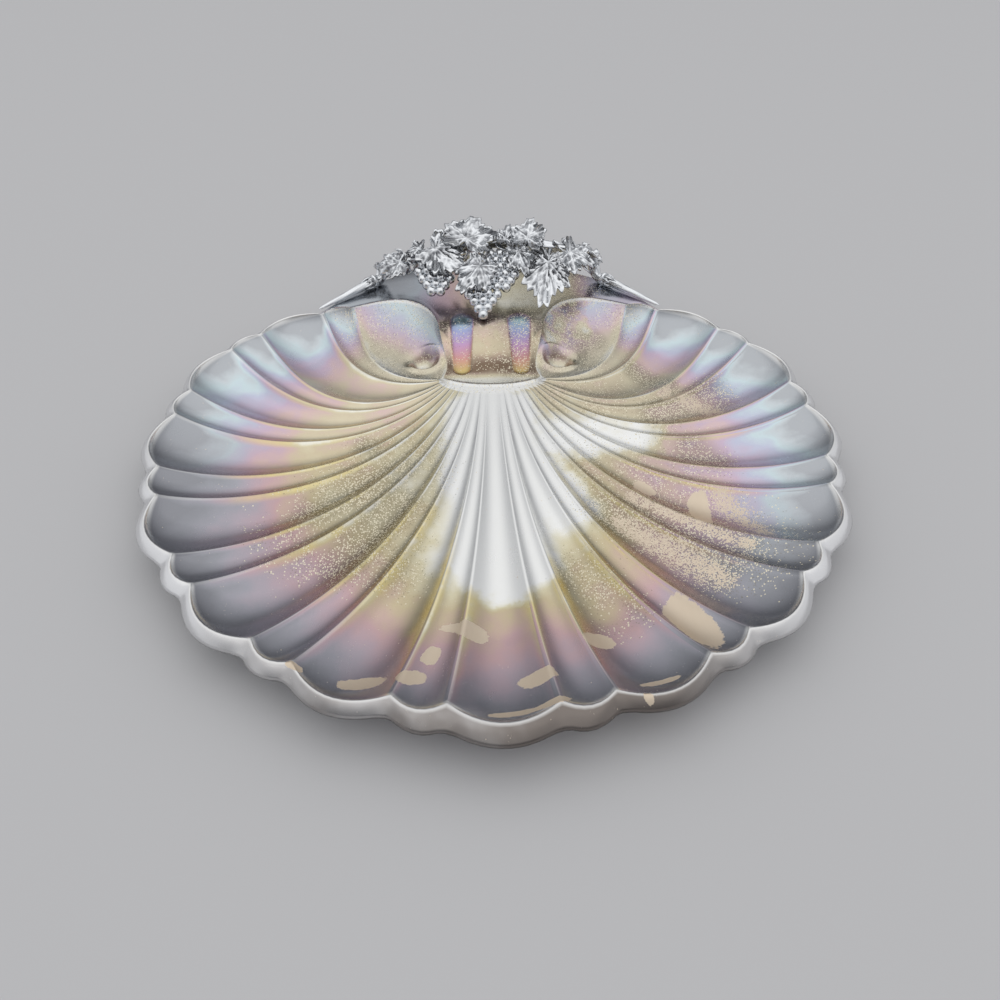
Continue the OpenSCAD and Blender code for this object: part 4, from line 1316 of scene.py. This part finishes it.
# height of the veins, share of a side rib and distance from the nearest vein at a point of the blade
def leafVeins(x, y, length, width):
    best, tall, rib = math.inf, 0, 0
    for a in (leafShape["lobe"] * k for k in (0, 1, -1, 2, -2)):
        way = Vector((width * dsin(a), length * dcos(a)))
        reach = way.length * lobeReach(a)
        way.normalize()
        along, off = x * way.x + y * way.y, abs(x * way.y - y * way.x)
        if along < 0:
            continue
        left = max(0, 1 - along / reach)
        tall = max(tall, leafShape["vein"] * bell(off, 0, leafShape["veinW"] * (0.5 + left)) * left ** 0.4)
        if off < best:
            best = off
            wave = dcos(360 * (along - leafShape["ribSlant"] * off) / leafShape["ribGap"])
            rib = (0.5 + 0.5 * wave) ** leafShape["ribPower"]
            rib *= step01(off / leafShape["ribFrom"]) * step01(left * 3 + 0.3)
    return tall, rib, best


# a point of the blade in the leaf's own plane, and its shade
def bladePoint(a, q, heading, size, form):
    (length, width), (bend, droop) = size, form
    r = q * leafReach(a)
    x, y = r * dsin(a), r * dcos(a)
    tall, rib, off = leafVeins(width * x, length * y, length, width)
    cup = q * (leafShape["cupFrom"] - leafShape["cupCut"] * q)
    valley = (0.5 - 0.5 * dcos(360 * a / leafShape["lobe"])) * cup
    bead = step01((q - leafShape["beadFrom"]) / leafShape["beadSoft"])
    groove = bell(q, leafShape["grooveAt"], leafShape["grooveW"])
    channel = bell(off, leafShape["channelAt"], leafShape["channelW"]) * step01(q * 3)
    spot = Vector((width * x, length * y, heading * leafShape["bulgeSeed"]))
    bulge = sum(share * noise.noise(spot * scale) for share, scale in leafShape["bulges"])
    z = bend * y * abs(y) + droop * x * x - leafShape["cup"] * valley + tall
    z += leafShape["rib"] * rib * step01(q * 4) * (1 - bead) + leafShape["bead"] * bead
    z -= leafShape["channel"] * channel + leafShape["groove"] * groove
    for height, growth, waves, phase in leafShape["curls"]:
        z += height * q ** growth * dsin(waves * a + heading * phase)
    z += leafShape["bulge"] * bulge * step01(q * 3)
    marks = {"bulge": bulge, "rib": rib, "channel": channel, "valley": valley, "groove": groove, "bead": bead,
             "root": 1 - step01(q * leafShape["rootShadeTo"])}
    shade = leafShape["plainShade"] + sum(leafShape["shade"][name] * value for name, value in marks.items())
    return Vector((width * x, length * y, z)), min(1, max(0, shade))


def makeLeaf(node, base, heading, tilt, size, form, seat):
    bm = bmesh.new()
    layer = hollowLayer(bm)
    spokes, rings = leafShape["spokes"], leafShape["rings"]
    stand = (Matrix.Translation(onFace(*base)) @ turned(vine["angle"], "X")
             @ turned(heading, "Z") @ turned(tilt, "X"))
    shades = {}

    def blade(i, j):
        p, shades[i, j] = bladePoint(360 * i / spokes - 180, j / rings, heading, size, form)
        return stand @ p

    for j, row in enumerate(ruledSheet(bm, spokes, rings, blade)):
        for i, vert in enumerate(row):
            vert[layer] = shades[i, j]
    merge(bm, bm.verts, weld["casting"])
    bmesh.ops.recalc_face_normals(bm, faces=bm.faces)
    if sum(f.normal.dot(faceUp) * f.calc_area() for f in bm.faces) < 0:
        bmesh.ops.reverse_faces(bm, faces=bm.faces)
    for vert in addBack(bm, stand.to_3x3() @ Vector((0, 0, -vine["leafT"]))):
        vert[layer] = leafShape["backShade"]
    addStalk(bm, onFace(base[0], base[1], base[2] - vine["leafT"] / 2), seat)
    finishPiece(bm, pieceName(node), node, oxideAndShadeCasting)


for node, leaf in leaves.items():
    makeLeaf(node, *leaf)
print("leaves made")

# plain pale floor, a dome of light that is brighter at its sides, and a large soft box overhead
studio = {"floor": (0.53, 0.53, 0.54, 1), "floorRough": 0.7, "floorSize": 4.0,
          "dome": [(0.0, (0.19, 0.195, 0.21)), (0.25, (0.37, 0.375, 0.39)), (0.5, (0.68, 0.685, 0.70)),
                   (0.75, (0.95, 0.95, 0.955)), (1.0, (0.98, 0.98, 0.98))],
          "sides": (0.5, 0.95, 0.0, 0.45), "sidesUpTo": (0.1, 0.7, 1.0, 0.0),
          "boxSize": (2.4, 2.0), "boxPlace": (0, -0.1, 1.5), "boxPower": 1.6}


def makeFloor(look):
    bm = bmesh.new()
    bmesh.ops.create_grid(bm, x_segments=2, y_segments=2, size=look["floorSize"])
    mesh = bpy.data.meshes.new("paleFloor")
    bm.to_mesh(mesh)
    bm.free()
    floor = bpy.data.objects.new("paleFloor", mesh)
    scene.collection.objects.link(floor)
    material, tree, shader = newMaterial("paleFloor")
    shader.inputs["Base Color"].default_value = look["floor"]
    shader.inputs["Roughness"].default_value = look["floorRough"]
    mesh.materials.append(material)


def makeLight(look):
    world = bpy.data.worlds.new("studioWorld")
    world.use_nodes = True
    sky = world.node_tree
    way = splitVector(sky, put(sky, "TexCoord").outputs["Generated"])
    sides = times(sky, fade(sky, calc(sky, "ABSOLUTE", way[0]), *look["sides"]),
                  fade(sky, way[2], *look["sidesUpTo"]))
    light = put(sky, "VectorMath", {0: ramp(sky, way[2], look["dome"]), 1: sides}, operation="ADD").outputs[0]
    sky.links.new(light, sky.nodes["Background"].inputs["Color"])
    scene.world = world
    lamp = bpy.data.lights.new("softBox", "AREA")
    lamp.shape = "RECTANGLE"
    lamp.size, lamp.size_y = look["boxSize"]
    lamp.energy = look["boxPower"]
    softBox = bpy.data.objects.new("softBox", lamp)
    softBox.location = look["boxPlace"]
    scene.collection.objects.link(softBox)


makeFloor(studio)
makeLight(studio)
print("studio lit")
